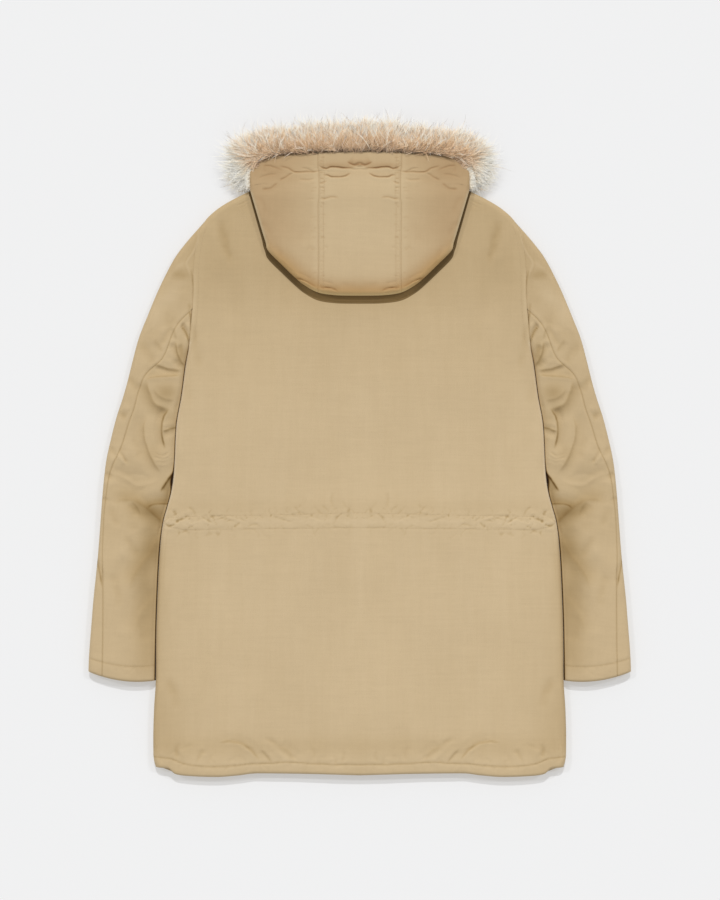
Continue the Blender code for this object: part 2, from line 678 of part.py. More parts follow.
# ---------------------------------------------------------------- assembly
def main():
    for obj in list(bpy.data.objects):
        bpy.data.objects.remove(obj, do_unlink=True)
    cloth = (0.56, 0.44, 0.27)

    def twill(name):
        return material(name + "_twill", cloth, 0.85)
    make_back(twill("back"))
    make_flap(twill("front_flap"))
    for mirror, side in ((-1, "left"), (1, "right")):
        make_front(mirror, "front_" + side, twill("front_" + side))
        make_top_sleeve(mirror, "sleeve_top_" + side, twill("sleeve_top_" + side))
        make_under_sleeve(mirror, "sleeve_under_" + side, twill("sleeve_under_" + side))
        make_throat(mirror, "hood_throat_" + side, twill("hood_throat_" + side))
    make_hood(("hood_side_left", "hood_side_right", "hood_center"),
              {-1: twill("hood_side_left"), 1: twill("hood_side_right"), 0: twill("hood_center")})
    make_fur("fur_trim_top", material("fur_trim_top_fur", (0.78, 0.66, 0.52), 0.9), *FUR_TOP_Z, False)
    make_fur("fur_trim_under", material("fur_trim_under_fur", (0.78, 0.66, 0.52), 0.9), *FUR_UNDER_Z, True)


main()
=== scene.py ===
import math

import bpy
import numpy as np
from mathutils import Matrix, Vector
from mathutils.bvhtree import BVHTree


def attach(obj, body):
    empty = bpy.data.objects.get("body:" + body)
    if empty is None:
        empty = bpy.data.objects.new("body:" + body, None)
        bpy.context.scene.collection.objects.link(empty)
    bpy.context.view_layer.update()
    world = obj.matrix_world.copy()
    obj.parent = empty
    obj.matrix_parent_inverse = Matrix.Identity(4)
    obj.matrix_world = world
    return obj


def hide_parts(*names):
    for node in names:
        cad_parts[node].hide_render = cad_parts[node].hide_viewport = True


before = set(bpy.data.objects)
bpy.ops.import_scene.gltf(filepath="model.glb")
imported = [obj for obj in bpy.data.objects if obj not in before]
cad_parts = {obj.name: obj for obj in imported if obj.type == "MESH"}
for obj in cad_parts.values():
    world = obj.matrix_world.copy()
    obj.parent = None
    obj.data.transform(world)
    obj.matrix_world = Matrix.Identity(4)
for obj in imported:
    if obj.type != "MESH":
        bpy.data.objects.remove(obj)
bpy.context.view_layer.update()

# The parka lies on its fronts, back up. Tables are in millimetres: a is the distance from the
# centre line, level the height above the hem, z the height above the floor. The left half
# mirrors the right.

# ---------------------------------------------------------------- sizes, as in the CAD source
MM = 0.001
WALL = 7.0
EDGE_HEIGHT = 16.5
CROWN = 1.6
SEAM = 0.4
SIDE_GAP = 1.2
EDGE_R = EDGE_HEIGHT / 2
MID = EDGE_HEIGHT / 2
HOOD_WALL = 5.5
HOOD_HEIGHT = 13.0
HOOD_CROWN = 1.6
HOOD_CLEAR = 0.6
FLAP_HALF = 35.0
FLAP_THICK = 3.0
FLAP_CLEAR = 0.4
LAP = 0.08             # gap between the visual shells at a sewn seam
NEAR_GAP = 0.12        # and between a sleeve and the body beside it
ARMPIT = 631.5
SHOULDER_TIP = 806.9
SLEEVE_TOP = 805.9
UNDER_TOP = 676.0
CUFF = 140.0
NECK = 872.2
NECK_HALF = 109.8
NECK_DROP_BACK = 33.4
NECK_DROP_FRONT = 93.0
Y_SHIFT = 482.5
HOOD_LOW = EDGE_HEIGHT + HOOD_CLEAR

BODY_EDGE = (
    (0.0, 296.5), (14.0, 299.4), (24.0, 300.2), (57.0, 300.4), (98.0, 299.3), (138.5, 296.8),
    (200.8, 296.2), (273.3, 293.9), (342.9, 289.6), (372.0, 285.5), (390.8, 280.3), (416.9, 273.6),
    (443.0, 270.3), (509.7, 266.8), (554.6, 259.1), (598.1, 253.3), (631.5, 247.5), (660.5, 244.6),
    (685.1, 242.4), (706.9, 241.7), (728.6, 241.7), (750.4, 240.3), (772.1, 237.4), (791.0, 233.0),
    (806.9, 225.8), (824.3, 208.4), (851.9, 159.1), (872.2, 109.8),
)
SLEEVE_EDGE = (
    (140.0, 394.7), (160.2, 394.0), (248.7, 388.2), (321.2, 380.9), (382.1, 376.3), (405.3, 374.6),
    (456.0, 369.3), (492.3, 361.6), (522.7, 353.8), (547.4, 345.7), (570.6, 338.9), (605.4, 330.2),
    (635.8, 322.0), (670.6, 308.4), (705.4, 293.9), (731.5, 281.4), (756.2, 267.8), (776.5, 252.4),
    (806.9, 225.8),
)
SLEEVE_SEAM = (
    (137.0, 374.0), (200.8, 372.9), (266.1, 372.6), (321.2, 373.6), (344.4, 373.0), (382.1, 371.2),
    (409.6, 368.0), (437.2, 363.8), (453.1, 358.4), (467.6, 351.5), (479.2, 346.1), (511.1, 336.2),
    (537.2, 327.0), (559.0, 321.5), (566.2, 318.9), (579.3, 313.8), (588.7, 307.0), (595.2, 299.5),
    (607.6, 286.6), (619.2, 280.6), (641.6, 272.6), (656.9, 264.6), (679.3, 243.2),
)
FRONT_SEAM = ((137.0, 34.0), (600.0, 34.0), (631.5, 28.0), (660.5, 15.0), (676.0, 4.0), (679.3, 0.0))
HEM_RISE = ((0.0, 2.5), (75.0, 4.5), (149.6, 5.2), (176.5, 2.2), (208.4, 0.0), (251.9, 1.6),
            (267.8, 4.1), (279.0, 12.5), (300.0, 13.8))
BRIM = ((0.0, 908.4), (61.9, 906.9), (106.1, 904.0), (138.0, 899.7), (157.6, 889.6))
HOOD_SIDE = ((157.6, 889.6), (162.6, 875.1), (160.7, 856.0), (159.1, 851.9), (142.1, 794.1),
             (136.3, 775.5), (132.6, 763.3))
HOOD_FOLD = ((132.6, 763.3), (113.0, 743.2), (93.8, 724.6), (79.6, 713.0), (60.3, 702.9),
             (34.4, 698.9), (0.0, 698.2))
HOOD_SEAM_TOP, HOOD_SEAM_FOLD = 61.2, 60.5
FUR = (
    (161.6, 857.0, 169.2, 857.0, 0.35), (163.8, 866.0, 181.0, 866.0, 0.60),
    (163.6, 875.0, 193.0, 880.0, 0.80), (161.6, 883.0, 198.0, 897.0, 0.90),
    (158.8, 890.4, 189.0, 917.0, 1.00), (149.0, 896.0, 168.0, 927.0, 1.00),
    (138.3, 900.6, 147.0, 932.5, 1.00), (121.0, 903.2, 126.0, 939.0, 1.00),
    (106.2, 904.9, 109.0, 944.0, 1.00), (84.0, 906.6, 86.0, 951.0, 1.00),
    (62.0, 907.8, 63.0, 957.7, 1.00), (31.0, 908.9, 31.5, 963.3, 1.00),
    (0.0, 909.3, 0.0, 965.0, 1.00),
)
FOLDS = (
    (357.0, 441.5, 322.9, 429.9, 16.0, -1.8), (322.9, 429.9, 272.0, 442.0, 16.0, -1.8),
    (340.0, 462.0, 300.0, 455.0, 18.0, 1.8), (349.0, 402.4, 322.9, 396.6, 14.0, -1.6),
    (322.9, 396.6, 296.8, 373.4, 14.0, -1.6), (311.0, 520.0, 306.0, 470.0, 14.0, -1.6),
    (286.0, 530.0, 284.0, 482.0, 12.0, -1.6), (310.0, 320.0, 318.0, 210.0, 16.0, -1.4),
    (198.0, 716.0, 184.0, 680.0, 18.0, -1.4),
)


# ---------------------------------------------------------------- small rules
def smooth(lo, hi, x):
    t = np.clip((np.asarray(x, float) - lo) / (hi - lo), 0.0, 1.0)
    return t * t * (3 - 2 * t)


def curve(rows, cols=(0, 1)):
    data = sorted((r[cols[0]], r[cols[1]]) for r in rows)
    x = np.array([d[0] for d in data])
    y = np.array([d[1] for d in data])
    h = np.diff(x)
    slope = np.diff(y) / h
    m = np.zeros(len(x))
    m[0], m[-1] = slope[0], slope[-1]
    for i in range(1, len(x) - 1):
        if slope[i - 1] * slope[i] > 0:
            w1, w2 = 2 * h[i] + h[i - 1], h[i] + 2 * h[i - 1]
            m[i] = (w1 + w2) / (w1 / slope[i - 1] + w2 / slope[i])

    def at(v):
        v = np.clip(np.asarray(v, float), x[0], x[-1])
        i = np.clip(np.searchsorted(x, v) - 1, 0, len(x) - 2)
        hi = h[i]
        t = (v - x[i]) / hi
        return ((1 + 2 * t) * (1 - t) ** 2 * y[i] + t * (1 - t) ** 2 * hi * m[i]
                + t * t * (3 - 2 * t) * y[i + 1] + t * t * (t - 1) * hi * m[i + 1])
    return at


body_half = curve(BODY_EDGE)
sleeve_outer = curve(SLEEVE_EDGE)
seam_line = curve(SLEEVE_SEAM)
front_seam_in = curve(FRONT_SEAM)
hem_rise = curve(HEM_RISE)
brim_level = curve(BRIM)


def silhouette(level):
    return np.where(np.asarray(level) < SHOULDER_TIP, sleeve_outer(level), body_half(level))


def inner_edge(level):
    gap = LAP + (NEAR_GAP - LAP) * (1 - smooth(600.0, ARMPIT, level))
    return body_half(level) + gap


def side_lift(level):
    return smooth(612.0, 640.0, level)


def stretch(edge, level):
    slope = (edge(np.asarray(level) + 2.0) - edge(np.asarray(level) - 2.0)) / 4.0
    return np.minimum(2.6, np.sqrt(1 + slope * slope))


def lattice(seed, n=256):
    return np.random.RandomState(seed).rand(n, n) * 2 - 1


LATTICES = {}


def noise(x, y, size, seed=0):
    """Smooth noise from -1 to 1 with bumps of that size."""
    if seed not in LATTICES:
        LATTICES[seed] = lattice(seed)
    g = LATTICES[seed]
    n = g.shape[0]
    u, v = np.asarray(x, float) / size, np.asarray(y, float) / size
    i, j = np.floor(u).astype(int), np.floor(v).astype(int)
    fu, fv = u - i, v - j
    fu, fv = fu ** 3 * (fu * (6 * fu - 15) + 10), fv ** 3 * (fv * (6 * fv - 15) + 10)
    a, b = g[i % n, j % n], g[(i + 1) % n, j % n]
    c, d = g[i % n, (j + 1) % n], g[(i + 1) % n, (j + 1) % n]
    return (a * (1 - fu) + b * fu) * (1 - fv) + (c * (1 - fu) + d * fu) * fv


def line_field(x, y, points):
    """Signed distance from a polyline, and the share of its length at the nearest place."""
    best = np.full(np.shape(x), 1e9)
    sign = np.ones(np.shape(x))
    share = np.zeros(np.shape(x))
    p = np.array(points, float)
    seg = np.hypot(*np.diff(p, axis=0).T)
    start = np.concatenate([[0.0], np.cumsum(seg)])
    for k in range(len(p) - 1):
        dx, dy = p[k + 1] - p[k]
        t = np.clip(((x - p[k, 0]) * dx + (y - p[k, 1]) * dy) / (dx * dx + dy * dy), 0, 1)
        ex, ey = x - p[k, 0] - t * dx, y - p[k, 1] - t * dy
        d = np.hypot(ex, ey)
        near = d < best
        best = np.where(near, d, best)
        sign = np.where(near, np.where(dx * ey - dy * ex >= 0, 1.0, -1.0), sign)
        share = np.where(near, (start[k] + t * seg[k]) / start[-1], share)
    return best * sign, share


def rounded(points, per=10):
    """A smooth line through points (Catmull and Rom)."""
    p = np.array(points, float)
    p = np.vstack([2 * p[0] - p[1], p, 2 * p[-1] - p[-2]])
    out = []
    for k in range(1, len(p) - 2):
        for t in np.arange(per) / per:
            out.append(0.5 * (2 * p[k] + (p[k + 1] - p[k - 1]) * t
                              + (2 * p[k - 1] - 5 * p[k] + 4 * p[k + 1] - p[k + 2]) * t * t
                              + (3 * p[k] - p[k - 1] - 3 * p[k + 1] + p[k + 2]) * t ** 3))
    out.append(p[-2])
    return np.array(out)


# ---------------------------------------------------------------- lines and creases
# A crease is a trough along a line with a soft ridge on one side of it. side is +1 for a ridge to
# the left of the line's direction, -1 to its right. width is the trough's half width.
SLEEVE_CREASES = (
    # points, width, depth, ridge, side
    (((257.7, 659.6), (250.0, 637.3)), 3.0, 1.5, 0.8, -1),
    (((262.6, 629.1), (256.2, 603.4)), 6.0, 1.0, 0.5, 1),
    (((281.4, 660.1), (276.7, 648.4), (288.4, 629.7), (292.6, 618.0)), 5.0, 0.5, 0.4, 1),
    (((297.8, 470.7), (286.1, 467.9), (276.2, 473.0)), 1.7, 0.7, 0.5, 1),
    (((300.1, 465.5), (283.7, 462.5), (273.2, 468.8)), 1.8, 0.5, 0.6, 1),
    (((296.0, 460.0), (284.0, 457.0), (272.0, 463.0)), 2.0, 0.4, 0.4, 1),
    (((264.8, 508.2), (275.0, 508.5), (287.2, 503.4)), 2.4, 0.7, 0.6, 1),
    (((348.0, 475.3), (343.4, 466.0), (337.0, 454.8)), 2.0, 0.9, 0.6, 1),
    (((363.2, 446.0), (344.5, 441.0), (323.5, 431.0), (304.8, 432.0), (288.4, 440.0)), 5.0, 0.35, 0.35, 1),
    (((300.1, 338.4), (312.0, 300.0), (318.6, 265.9), (318.1, 220.4), (314.0, 186.0)), 12.0, 0.5, 0.4, -1),
    (((352.0, 480.0), (340.0, 470.0), (333.0, 452.0)), 6.0, 0.5, 0.5, 1),
    (((345.0, 348.0), (332.0, 338.0), (322.0, 316.0)), 7.0, 0.7, 0.6, 1),
    (((330.0, 496.0), (322.0, 476.0), (324.0, 458.0)), 6.0, 0.6, 0.6, 1),
    (((262.0, 556.0), (266.0, 540.0), (265.0, 520.0)), 4.5, 0.7, 0.4, -1),
    (((284.0, 366.0), (294.0, 352.0), (300.0, 340.0)), 6.0, 0.8, 0.6, -1),
    (((362.0, 300.0), (352.0, 272.0), (350.0, 240.0)), 9.0, 0.5, 0.3, 1),
    (((281.0, 616.0), (274.0, 606.0), (262.0, 601.0)), 3.6, 0.6, 0.5, -1),
    (((366.0, 392.0), (356.0, 380.0), (352.0, 362.0)), 7.0, 0.5, 0.4, 1),
    (((342.0, 386.0), (330.0, 372.0), (326.0, 352.0)), 9.0, 0.6, 0.4, -1),
)
SLEEVE_LEDGES = (
    # points, reach, drop, painted shade on the falling side, painted dark line along the fold, side
    (((262.0, 655.0), (257.0, 650.5), (253.0, 645.0), (250.2, 637.0), (248.0, 628.0)), 3.0, 0.9, 0.05, 0.34, -1),
    (((247.6, 691.0), (247.4, 683.0), (246.6, 674.0), (245.6, 665.0), (245.2, 656.0), (246.2, 645.0)), 3.0, 0.5, 0.05, 0.36, -1),
    (((246.4, 737.0), (245.0, 731.5), (243.4, 726.0), (242.6, 720.0), (242.4, 712.0)), 2.5, 0.3, 0.02, 0.26, -1),
    (((386.5, 338.0), (383.4, 322.0), (380.2, 306.0), (376.6, 289.0), (374.2, 273.0)), 3.2, 0.6, 0.05, 0.46, -1),
    (((267.0, 633.7), (265.6, 622.0), (263.8, 613.3), (258.4, 603.0), (253.2, 594.0)), 5.5, 1.9, 0.14, 0.17, 1),
    (((273.0, 655.0), (268.0, 645.0), (266.0, 634.0)), 4.5, 0.8, 0.04, 0.07, 1),
    (((299.4, 602.0), (290.0, 596.8), (281.4, 593.4), (272.0, 591.4), (258.3, 590.6)), 3.6, 1.4, 0.10, 0.20, 1),
    (((314.0, 575.6), (304.0, 579.2), (293.1, 580.8), (276.7, 582.0), (256.0, 583.2)), 7.5, 2.0, 0.11, 0.15, -1),
    (((309.3, 578.0), (307.8, 566.0), (304.8, 557.2), (295.4, 540.8), (274.7, 531.6)), 9.0, 1.7, 0.18, 0.03, 1),
    (((300.0, 566.0), (294.0, 556.0), (284.0, 549.0), (268.0, 546.0)), 5.0, 0.8, 0.05, 0.05, 1),
    (((276.2, 537.8), (281.0, 529.0), (284.9, 522.1), (287.4, 508.1), (286.5, 494.1), (281.5, 475.0)), 5.0, 2.0, 0.13, 0.52, 1),
    (((287.7, 501.6), (280.5, 503.6), (275.5, 505.3), (264.4, 508.8)), 4.5, 1.6, 0.12, 0.36, 1),
    (((308.6, 528.1), (312.6, 513.0), (312.8, 500.7), (311.8, 489.4), (306.6, 473.0), (297.8, 455.5), (286.4, 437.4)), 7.0, 1.9, 0.08, 0.12, 1),
    (((291.0, 413.0), (287.9, 418.0), (284.6, 422.6), (281.0, 428.0), (276.2, 435.2), (266.8, 446.5)), 6.0, 1.2, 0.16, 0.44, 1),
    (((289.5, 415.5), (287.0, 419.3), (284.3, 423.0), (280.8, 428.2), (276.0, 435.4), (266.8, 446.5)), 2.0, 0.0, 0.08, 0.80, 1),
    (((366.2, 441.3), (344.5, 434.4), (323.5, 422.7), (304.8, 425.1), (284.4, 435.2)), 8.0, 0.6, 0.02, 0.02, 1),
    (((310.9, 388.6), (304.0, 393.6), (297.8, 395.8), (288.4, 396.3), (273.4, 395.8)), 7.0, 1.8, 0.26, 0.40, -1),
    (((357.4, 396.5), (348.0, 402.0), (339.8, 403.3), (328.2, 402.1), (311.8, 393.5), (297.8, 380.6), (282.2, 360.8)), 11.0, 0.9, 0.17, 0.02, -1),
    (((316.0, 396.0), (309.0, 389.5), (302.0, 383.0), (294.0, 376.0), (287.0, 371.5)), 4.0, 0.5, 0.08, 0.08, -1),
    (((332.0, 402.0), (318.0, 397.0), (306.0, 388.0), (292.0, 374.0), (282.0, 362.0)), 15.0, 0.5, 0.15, 0.04, 1),
    (((331.0, 401.0), (322.0, 391.0), (318.0, 379.0)), 5.0, 0.9, 0.05, 0.06, 1),
    (((286.0, 358.2), (297.0, 337.0), (304.1, 324.1), (318.6, 306.7), (329.6, 286.4), (334.1, 270.8)), 14.0, 2.2, 0.11, 0.07, 1),
    (((290.8, 270.1), (309.9, 248.7), (321.5, 231.3), (325.4, 205.0)), 12.0, 1.2, 0.03, 0.02, 1),
    (((298.0, 635.0), (291.0, 626.0), (286.0, 617.0)), 4.0, 0.6, 0.05, 0.09, 1),
    (((324.0, 232.0), (318.0, 214.0), (319.0, 196.0)), 9.0, 0.6, 0.02, 0.01, -1),
)


TOP_SLEEVE_CREASES = (
    (((321.0, 634.0), (306.0, 612.0), (298.0, 596.0)), 8.0, 0.7, 0.4, 1),
    (((338.0, 580.0), (326.0, 568.0), (318.0, 562.0)), 6.0, 0.8, 0.5, 1),
    (((352.0, 530.0), (344.0, 524.0), (336.0, 521.0)), 5.0, 0.9, 0.6, -1),
    (((364.0, 478.0), (356.0, 470.0), (350.0, 467.0)), 4.0, 0.9, 0.6, 1),
    (((372.0, 440.0), (365.0, 437.0), (360.0, 440.0)), 4.0, 1.0, 0.6, 1),
    (((376.0, 404.0), (370.0, 402.0), (366.0, 406.0)), 4.0, 0.9, 0.6, -1),
    (((382.0, 318.0), (377.0, 296.0), (375.6, 270.3)), 3.0, 0.6, 0.4, 1),
    (((290.0, 690.0), (276.0, 668.0), (270.0, 650.0)), 12.0, 0.6, 0.3, 1),
    (((262.0, 742.0), (256.0, 720.0), (258.0, 700.0)), 14.0, 0.5, 0.3, -1),
)
BACK_CREASES = (
    (((203.0, 812.0), (199.0, 792.0), (194.0, 772.0), (186.0, 742.0)), 6.5, 1.2, 0.6, 1),
    (((173.1, 836.5), (169.0, 831.0), (163.9, 828.7)), 3.0, 0.7, 0.3, 1),
    (((243.0, 657.0), (238.0, 640.0), (240.0, 622.0)), 5.0, 0.7, 0.5, 1),
    (((247.0, 632.0), (236.0, 616.0), (232.0, 594.0)), 7.0, 0.6, 0.4, -1),
    (((258.0, 572.0), (250.0, 556.0), (249.0, 540.0)), 8.0, 0.5, 0.3, 1),
    (((40.2, 413.1), (40.7, 400.0), (40.2, 386.9)), 2.4, 0.8, 0.5, 1),
    (((280.0, 146.8), (272.0, 124.0), (262.5, 98.2)), 8.0, 0.9, 0.4, 1),
    (((204.8, 49.6), (185.0, 51.5), (168.0, 47.0), (153.3, 34.1), (145.6, 22.5)), 1.9, 0.9, 0.40, 1),
    (((143.7, 38.0), (136.0, 31.0), (127.3, 21.5)), 2.0, 0.7, 0.40, -1),
    (((141.5, 58.3), (118.0, 44.0), (93.3, 24.8)), 3.6, 0.7, 0.45, 1),
    (((222.0, 41.0), (232.0, 33.0), (236.0, 21.0)), 3.6, 0.6, 0.5, 1),
    (((262.0, 52.0), (266.0, 40.0), (264.0, 24.0)), 3.6, 0.7, 0.5, -1),
    (((72.0, 44.0), (66.0, 34.0), (67.0, 22.0)), 3.4, 0.5, 0.5, 1),
    (((24.0, 40.0), (21.0, 32.0), (24.0, 21.0)), 3.0, 0.5, 0.4, -1),
)
HOOD_CREASES = (
    # points, width, depth, ridge, side: the brim's casing, drawn in across the centre panel
    (((61.0, 889.6), (57.0, 884.6), (53.7, 883.1), (48.1, 881.6), (42.5, 884.0), (32.5, 884.0), (22.4, 883.2), (12.0, 883.2)), 1.25, 2.3, 1.1, 1),
    (((16.0, 882.6), (8.0, 880.6), (0.0, 881.4), (-8.0, 880.6)), 1.7, 0.9, 0.8, -1),
    (((18.0, 892.4), (12.4, 889.0), (7.9, 887.2), (0.0, 889.6), (-7.9, 887.2)), 1.9, 1.7, 0.7, -1),
    (((10.0, 886.0), (4.0, 884.8), (-4.0, 884.8)), 1.3, 1.2, 0.6, -1),
    (((54.8, 870.8), (50.3, 871.8), (45.8, 871.6), (41.4, 869.7), (32.5, 869.5), (22.4, 870.6), (15.9, 873.4), (11.4, 877.0)), 1.25, 1.9, 0.9, 1),
    (((59.0, 877.8), (52.0, 878.6), (44.0, 876.6)), 1.4, 0.6, 0.5, -1),
    (((59.2, 861.0), (54.8, 860.4), (48.1, 863.4)), 1.3, 0.9, 0.5, 1),
    (((59.2, 853.4), (54.0, 853.8), (50.0, 852.6)), 1.3, 0.6, 0.4, 1),
    (((59.2, 838.0), (53.0, 837.6), (48.1, 838.5), (40.3, 840.2), (30.4, 839.1)), 1.4, 1.3, 0.7, 1),
    # folds across the side panels
    (((53.7, 878.7), (61.5, 877.8), (68.2, 877.2), (77.1, 877.5), (86.0, 876.8), (93.8, 877.0), (98.3, 879.2), (102.7, 882.0), (108.3, 883.7), (120.3, 886.4)), 1.35, 1.7, 0.9, -1),
    (((66.2, 877.4), (71.5, 879.8), (77.1, 882.3), (85.8, 883.3)), 1.4, 0.9, 0.7, 1),
    (((112.0, 879.6), (122.8, 883.7), (129.5, 886.0), (140.4, 886.6)), 1.6, 0.9, 0.6, 1),
    (((95.2, 875.4), (101.6, 873.0), (107.2, 869.2), (117.0, 863.7)), 1.4, 1.1, 0.7, 1),
    (((148.2, 866.5), (139.5, 870.8), (129.5, 873.0), (117.5, 873.8)), 1.8, 0.7, 0.6, -1),
    (((142.7, 852.4), (134.0, 852.4), (128.4, 854.1), (122.8, 858.6), (117.5, 861.6)), 1.8, 1.2, 0.7, 1),
    (((90.2, 866.2), (79.3, 865.3), (71.5, 865.3), (63.8, 867.9)), 1.8, 0.8, 0.6, 1),
    (((79.0, 836.6), (72.0, 837.2), (65.0, 836.8)), 1.4, 0.5, 0.3, 1),
    (((134.0, 893.6), (138.0, 884.0), (136.0, 873.0)), 3.0, 0.6, 0.5, 1),
    (((150.0, 842.0), (140.0, 832.0), (136.0, 815.0)), 5.0, 0.6, 0.5, 1),
    (((146.0, 806.0), (134.0, 796.0), (128.0, 780.0)), 6.0, 0.6, 0.5, 1),
    (((74.0, 806.0), (84.0, 790.0), (86.0, 772.0)), 9.0, 0.2, 0.1, 1),
    (((63.0, 766.0), (71.0, 768.0), (77.0, 762.0)), 2.0, 0.5, 0.4, 1),
    (((57.5, 764.6), (50.0, 767.6), (45.0, 766.2)), 1.6, 0.6, 0.5, 1),
    # folds where the panel turns over at the bottom
    (((96.0, 724.6), (90.0, 722.4), (84.0, 720.8), (74.0, 716.0), (60.5, 709.4)), 1.4, 1.8, 1.0, 1),
    (((60.5, 711.0), (54.0, 709.2), (45.0, 709.0), (36.0, 706.6), (31.0, 702.6)), 1.3, 1.8, 0.9, 1),
    (((92.0, 731.0), (80.0, 727.4), (68.0, 720.6)), 2.2, 0.6, 0.5, 1),
    (((57.5, 718.8), (48.0, 717.4), (36.0, 713.8)), 2.0, 0.6, 0.5, 1),
    (((114.4, 750.0), (104.0, 738.6), (94.0, 731.6)), 2.6, 0.7, 0.6, 1),
    (((30.0, 716.0), (16.0, 713.6), (0.0, 714.2)), 6.0, 0.4, 0.3, 1),
    (((124.0, 772.0), (116.0, 762.0), (112.0, 752.0)), 5.0, 0.5, 0.5, 1),
)


HOOD_LEDGES = (
    # points, reach, drop, painted shade on the falling side, painted dark line along the fold, side
    (((60.0, 887.0), (57.0, 884.8), (53.7, 883.1), (48.1, 881.8), (42.5, 884.0), (32.5, 884.0), (22.4, 883.2), (13.5, 883.4), (4.0, 884.6)), 6.0, 0.3, 0.17, 0.34, -1),
    (((19.0, 893.0), (15.5, 890.6), (12.4, 889.0), (7.9, 887.4), (2.0, 887.6), (-4.0, 887.4)), 6.0, 0.5, 0.20, 0.34, -1),
    (((60.0, 893.0), (58.5, 890.5), (54.0, 888.4)), 2.6, 0.3, 0.06, 0.12, -1),
    (((54.8, 870.8), (50.3, 871.6), (45.8, 871.6), (41.4, 869.7), (32.5, 869.5), (22.4, 870.6), (15.9, 873.4), (11.4, 877.0)), 3.4, 0.3, 0.08, 0.26, -1),
    (((53.7, 878.7), (61.5, 877.8), (68.2, 877.2), (77.1, 877.5), (86.0, 876.8), (93.8, 877.0), (98.3, 879.2), (102.7, 882.0), (108.3, 883.7), (120.3, 886.4)), 2.6, 0.3, 0.05, 0.17, 1),
    (((109.0, 878.0), (115.0, 880.9), (122.8, 883.7), (129.5, 886.0), (141.4, 886.6)), 3.4, 0.3, 0.05, 0.08, 1),
    (((95.2, 875.4), (101.6, 873.0), (107.2, 869.2), (117.0, 863.7)), 3.0, 0.3, 0.05, 0.10, 1),
    (((142.7, 852.4), (134.0, 852.4), (128.4, 854.1), (122.8, 858.6), (117.5, 861.6)), 3.5, 0.5, 0.07, 0.12, 1),
    (((59.2, 838.0), (53.0, 837.6), (48.1, 838.5), (40.3, 840.2), (28.4, 839.1)), 2.0, 0.2, 0.03, 0.16, -1),
    (((59.0, 861.6), (54.8, 860.8), (46.1, 863.8)), 2.0, 0.2, 0.03, 0.10, -1),
    (((96.0, 724.6), (90.0, 722.4), (84.0, 720.8), (74.0, 716.0), (60.5, 709.4)), 2.4, 0.3, 0.04, 0.17, -1),
    (((60.5, 711.0), (54.0, 709.2), (45.0, 709.0), (36.0, 706.6), (29.0, 702.0)), 2.2, 0.3, 0.04, 0.17, -1),
)


def creases(x, y, table, seed, gain=1.0, broader=1.0, waver=1.0, crest=1.0):
    """Height of all creases of a table at places (x, y). The lines waver a little."""
    wx = x + waver * (1.6 * noise(x, y, 13.0, seed) + 0.7 * noise(x, y, 5.0, seed + 1))
    wy = y + waver * (1.6 * noise(x, y, 13.0, seed + 2) + 0.7 * noise(x, y, 5.0, seed + 3))
    total = np.zeros(np.shape(x))
    for k, (points, width, depth, ridge, side) in enumerate(table):
        width = width * broader
        p = np.array(points)
        reach = width * (3 + 2 * crest)
        near = ((wx > p[:, 0].min() - reach) & (wx < p[:, 0].max() + reach)
                & (wy > p[:, 1].min() - reach) & (wy < p[:, 1].max() + reach))
        if not near.any():
            continue
        d, t = line_field(wx[near], wy[near], rounded(points, 4 if len(points) < 4 else 5))
        ends = np.clip(np.minimum(t / 0.25, (1 - t) / 0.25), 0, 1)
        ends = ends * ends * (3 - 2 * ends)
        uneven = 0.85 + 0.3 * math.sin(k * 2.4) * np.sin(t * 5.0 + k)
        d = d * side
        shape = (-depth * np.exp(-(d / width) ** 2)
                 + ridge / math.sqrt(crest) * np.exp(-((d - (1.0 + crest) * width) / (1.5 * crest * width)) ** 2)
                 + 0.35 / crest * ridge * np.exp(-((d + (1.2 + crest) * width) / (1.6 * crest * width)) ** 2))
        uneven = uneven * (1 + 0.30 * noise(wx[near], wy[near], 7.0, seed + 7))
        total[near] += shape * ends * uneven * gain
    return total


def ledges(x, y, table, seed, waver=0.5, thin=1.15):
    """Sharp folds: the cloth breaks along a line and falls away on one side of it. Rows are points, reach of the
    falling side, drop, painted shade on the falling side, painted dark line along the fold, side. Height, and the
    painted shade as a factor."""
    wx = x + waver * (1.6 * noise(x, y, 13.0, seed) + 0.7 * noise(x, y, 5.0, seed + 1))
    wy = y + waver * (1.6 * noise(x, y, 13.0, seed + 2) + 0.7 * noise(x, y, 5.0, seed + 3))
    height, tone = np.zeros(np.shape(x)), np.ones(np.shape(x))
    for points, reach, drop, depth, line, side in table:
        p = np.array(points)
        far = reach * 3.2 + 6
        near = ((wx > p[:, 0].min() - far) & (wx < p[:, 0].max() + far)
                & (wy > p[:, 1].min() - far) & (wy < p[:, 1].max() + far))
        if not near.any():
            continue
        d, t = line_field(wx[near], wy[near], rounded(points, 5))
        d = d * side
        ends = np.clip(np.minimum(t / 0.22, (1 - t) / 0.22), 0, 1)
        ends = ends * ends * (3 - 2 * ends)
        u = np.maximum(d, 0.0) / reach
        fall = u * np.exp(1 - u) * (1 - smooth(1.5, 3.1, u))
        height[near] += ends * (-drop * fall + 0.35 * drop * np.exp(-((d + 1.5) / (0.35 * reach + 1.6)) ** 2))
        soft = 1.3 + 0.5 * max(0.0, reach - 8.0)
        shade = np.where(d > 0, np.exp(-(u / 1.25) ** 2), np.exp(-(d / soft) ** 2))
        tone[near] *= 1 - ends * 1.15 * depth * shade
        broken = np.clip(0.86 + 0.42 * noise(wx[near], wy[near], 6.0, seed + 9), 0.45, 1.25)
        tone[near] *= 1 - np.minimum(ends * line * broken, 0.85) * np.exp(-((d - 0.4) / thin) ** 2)
    return height, tone


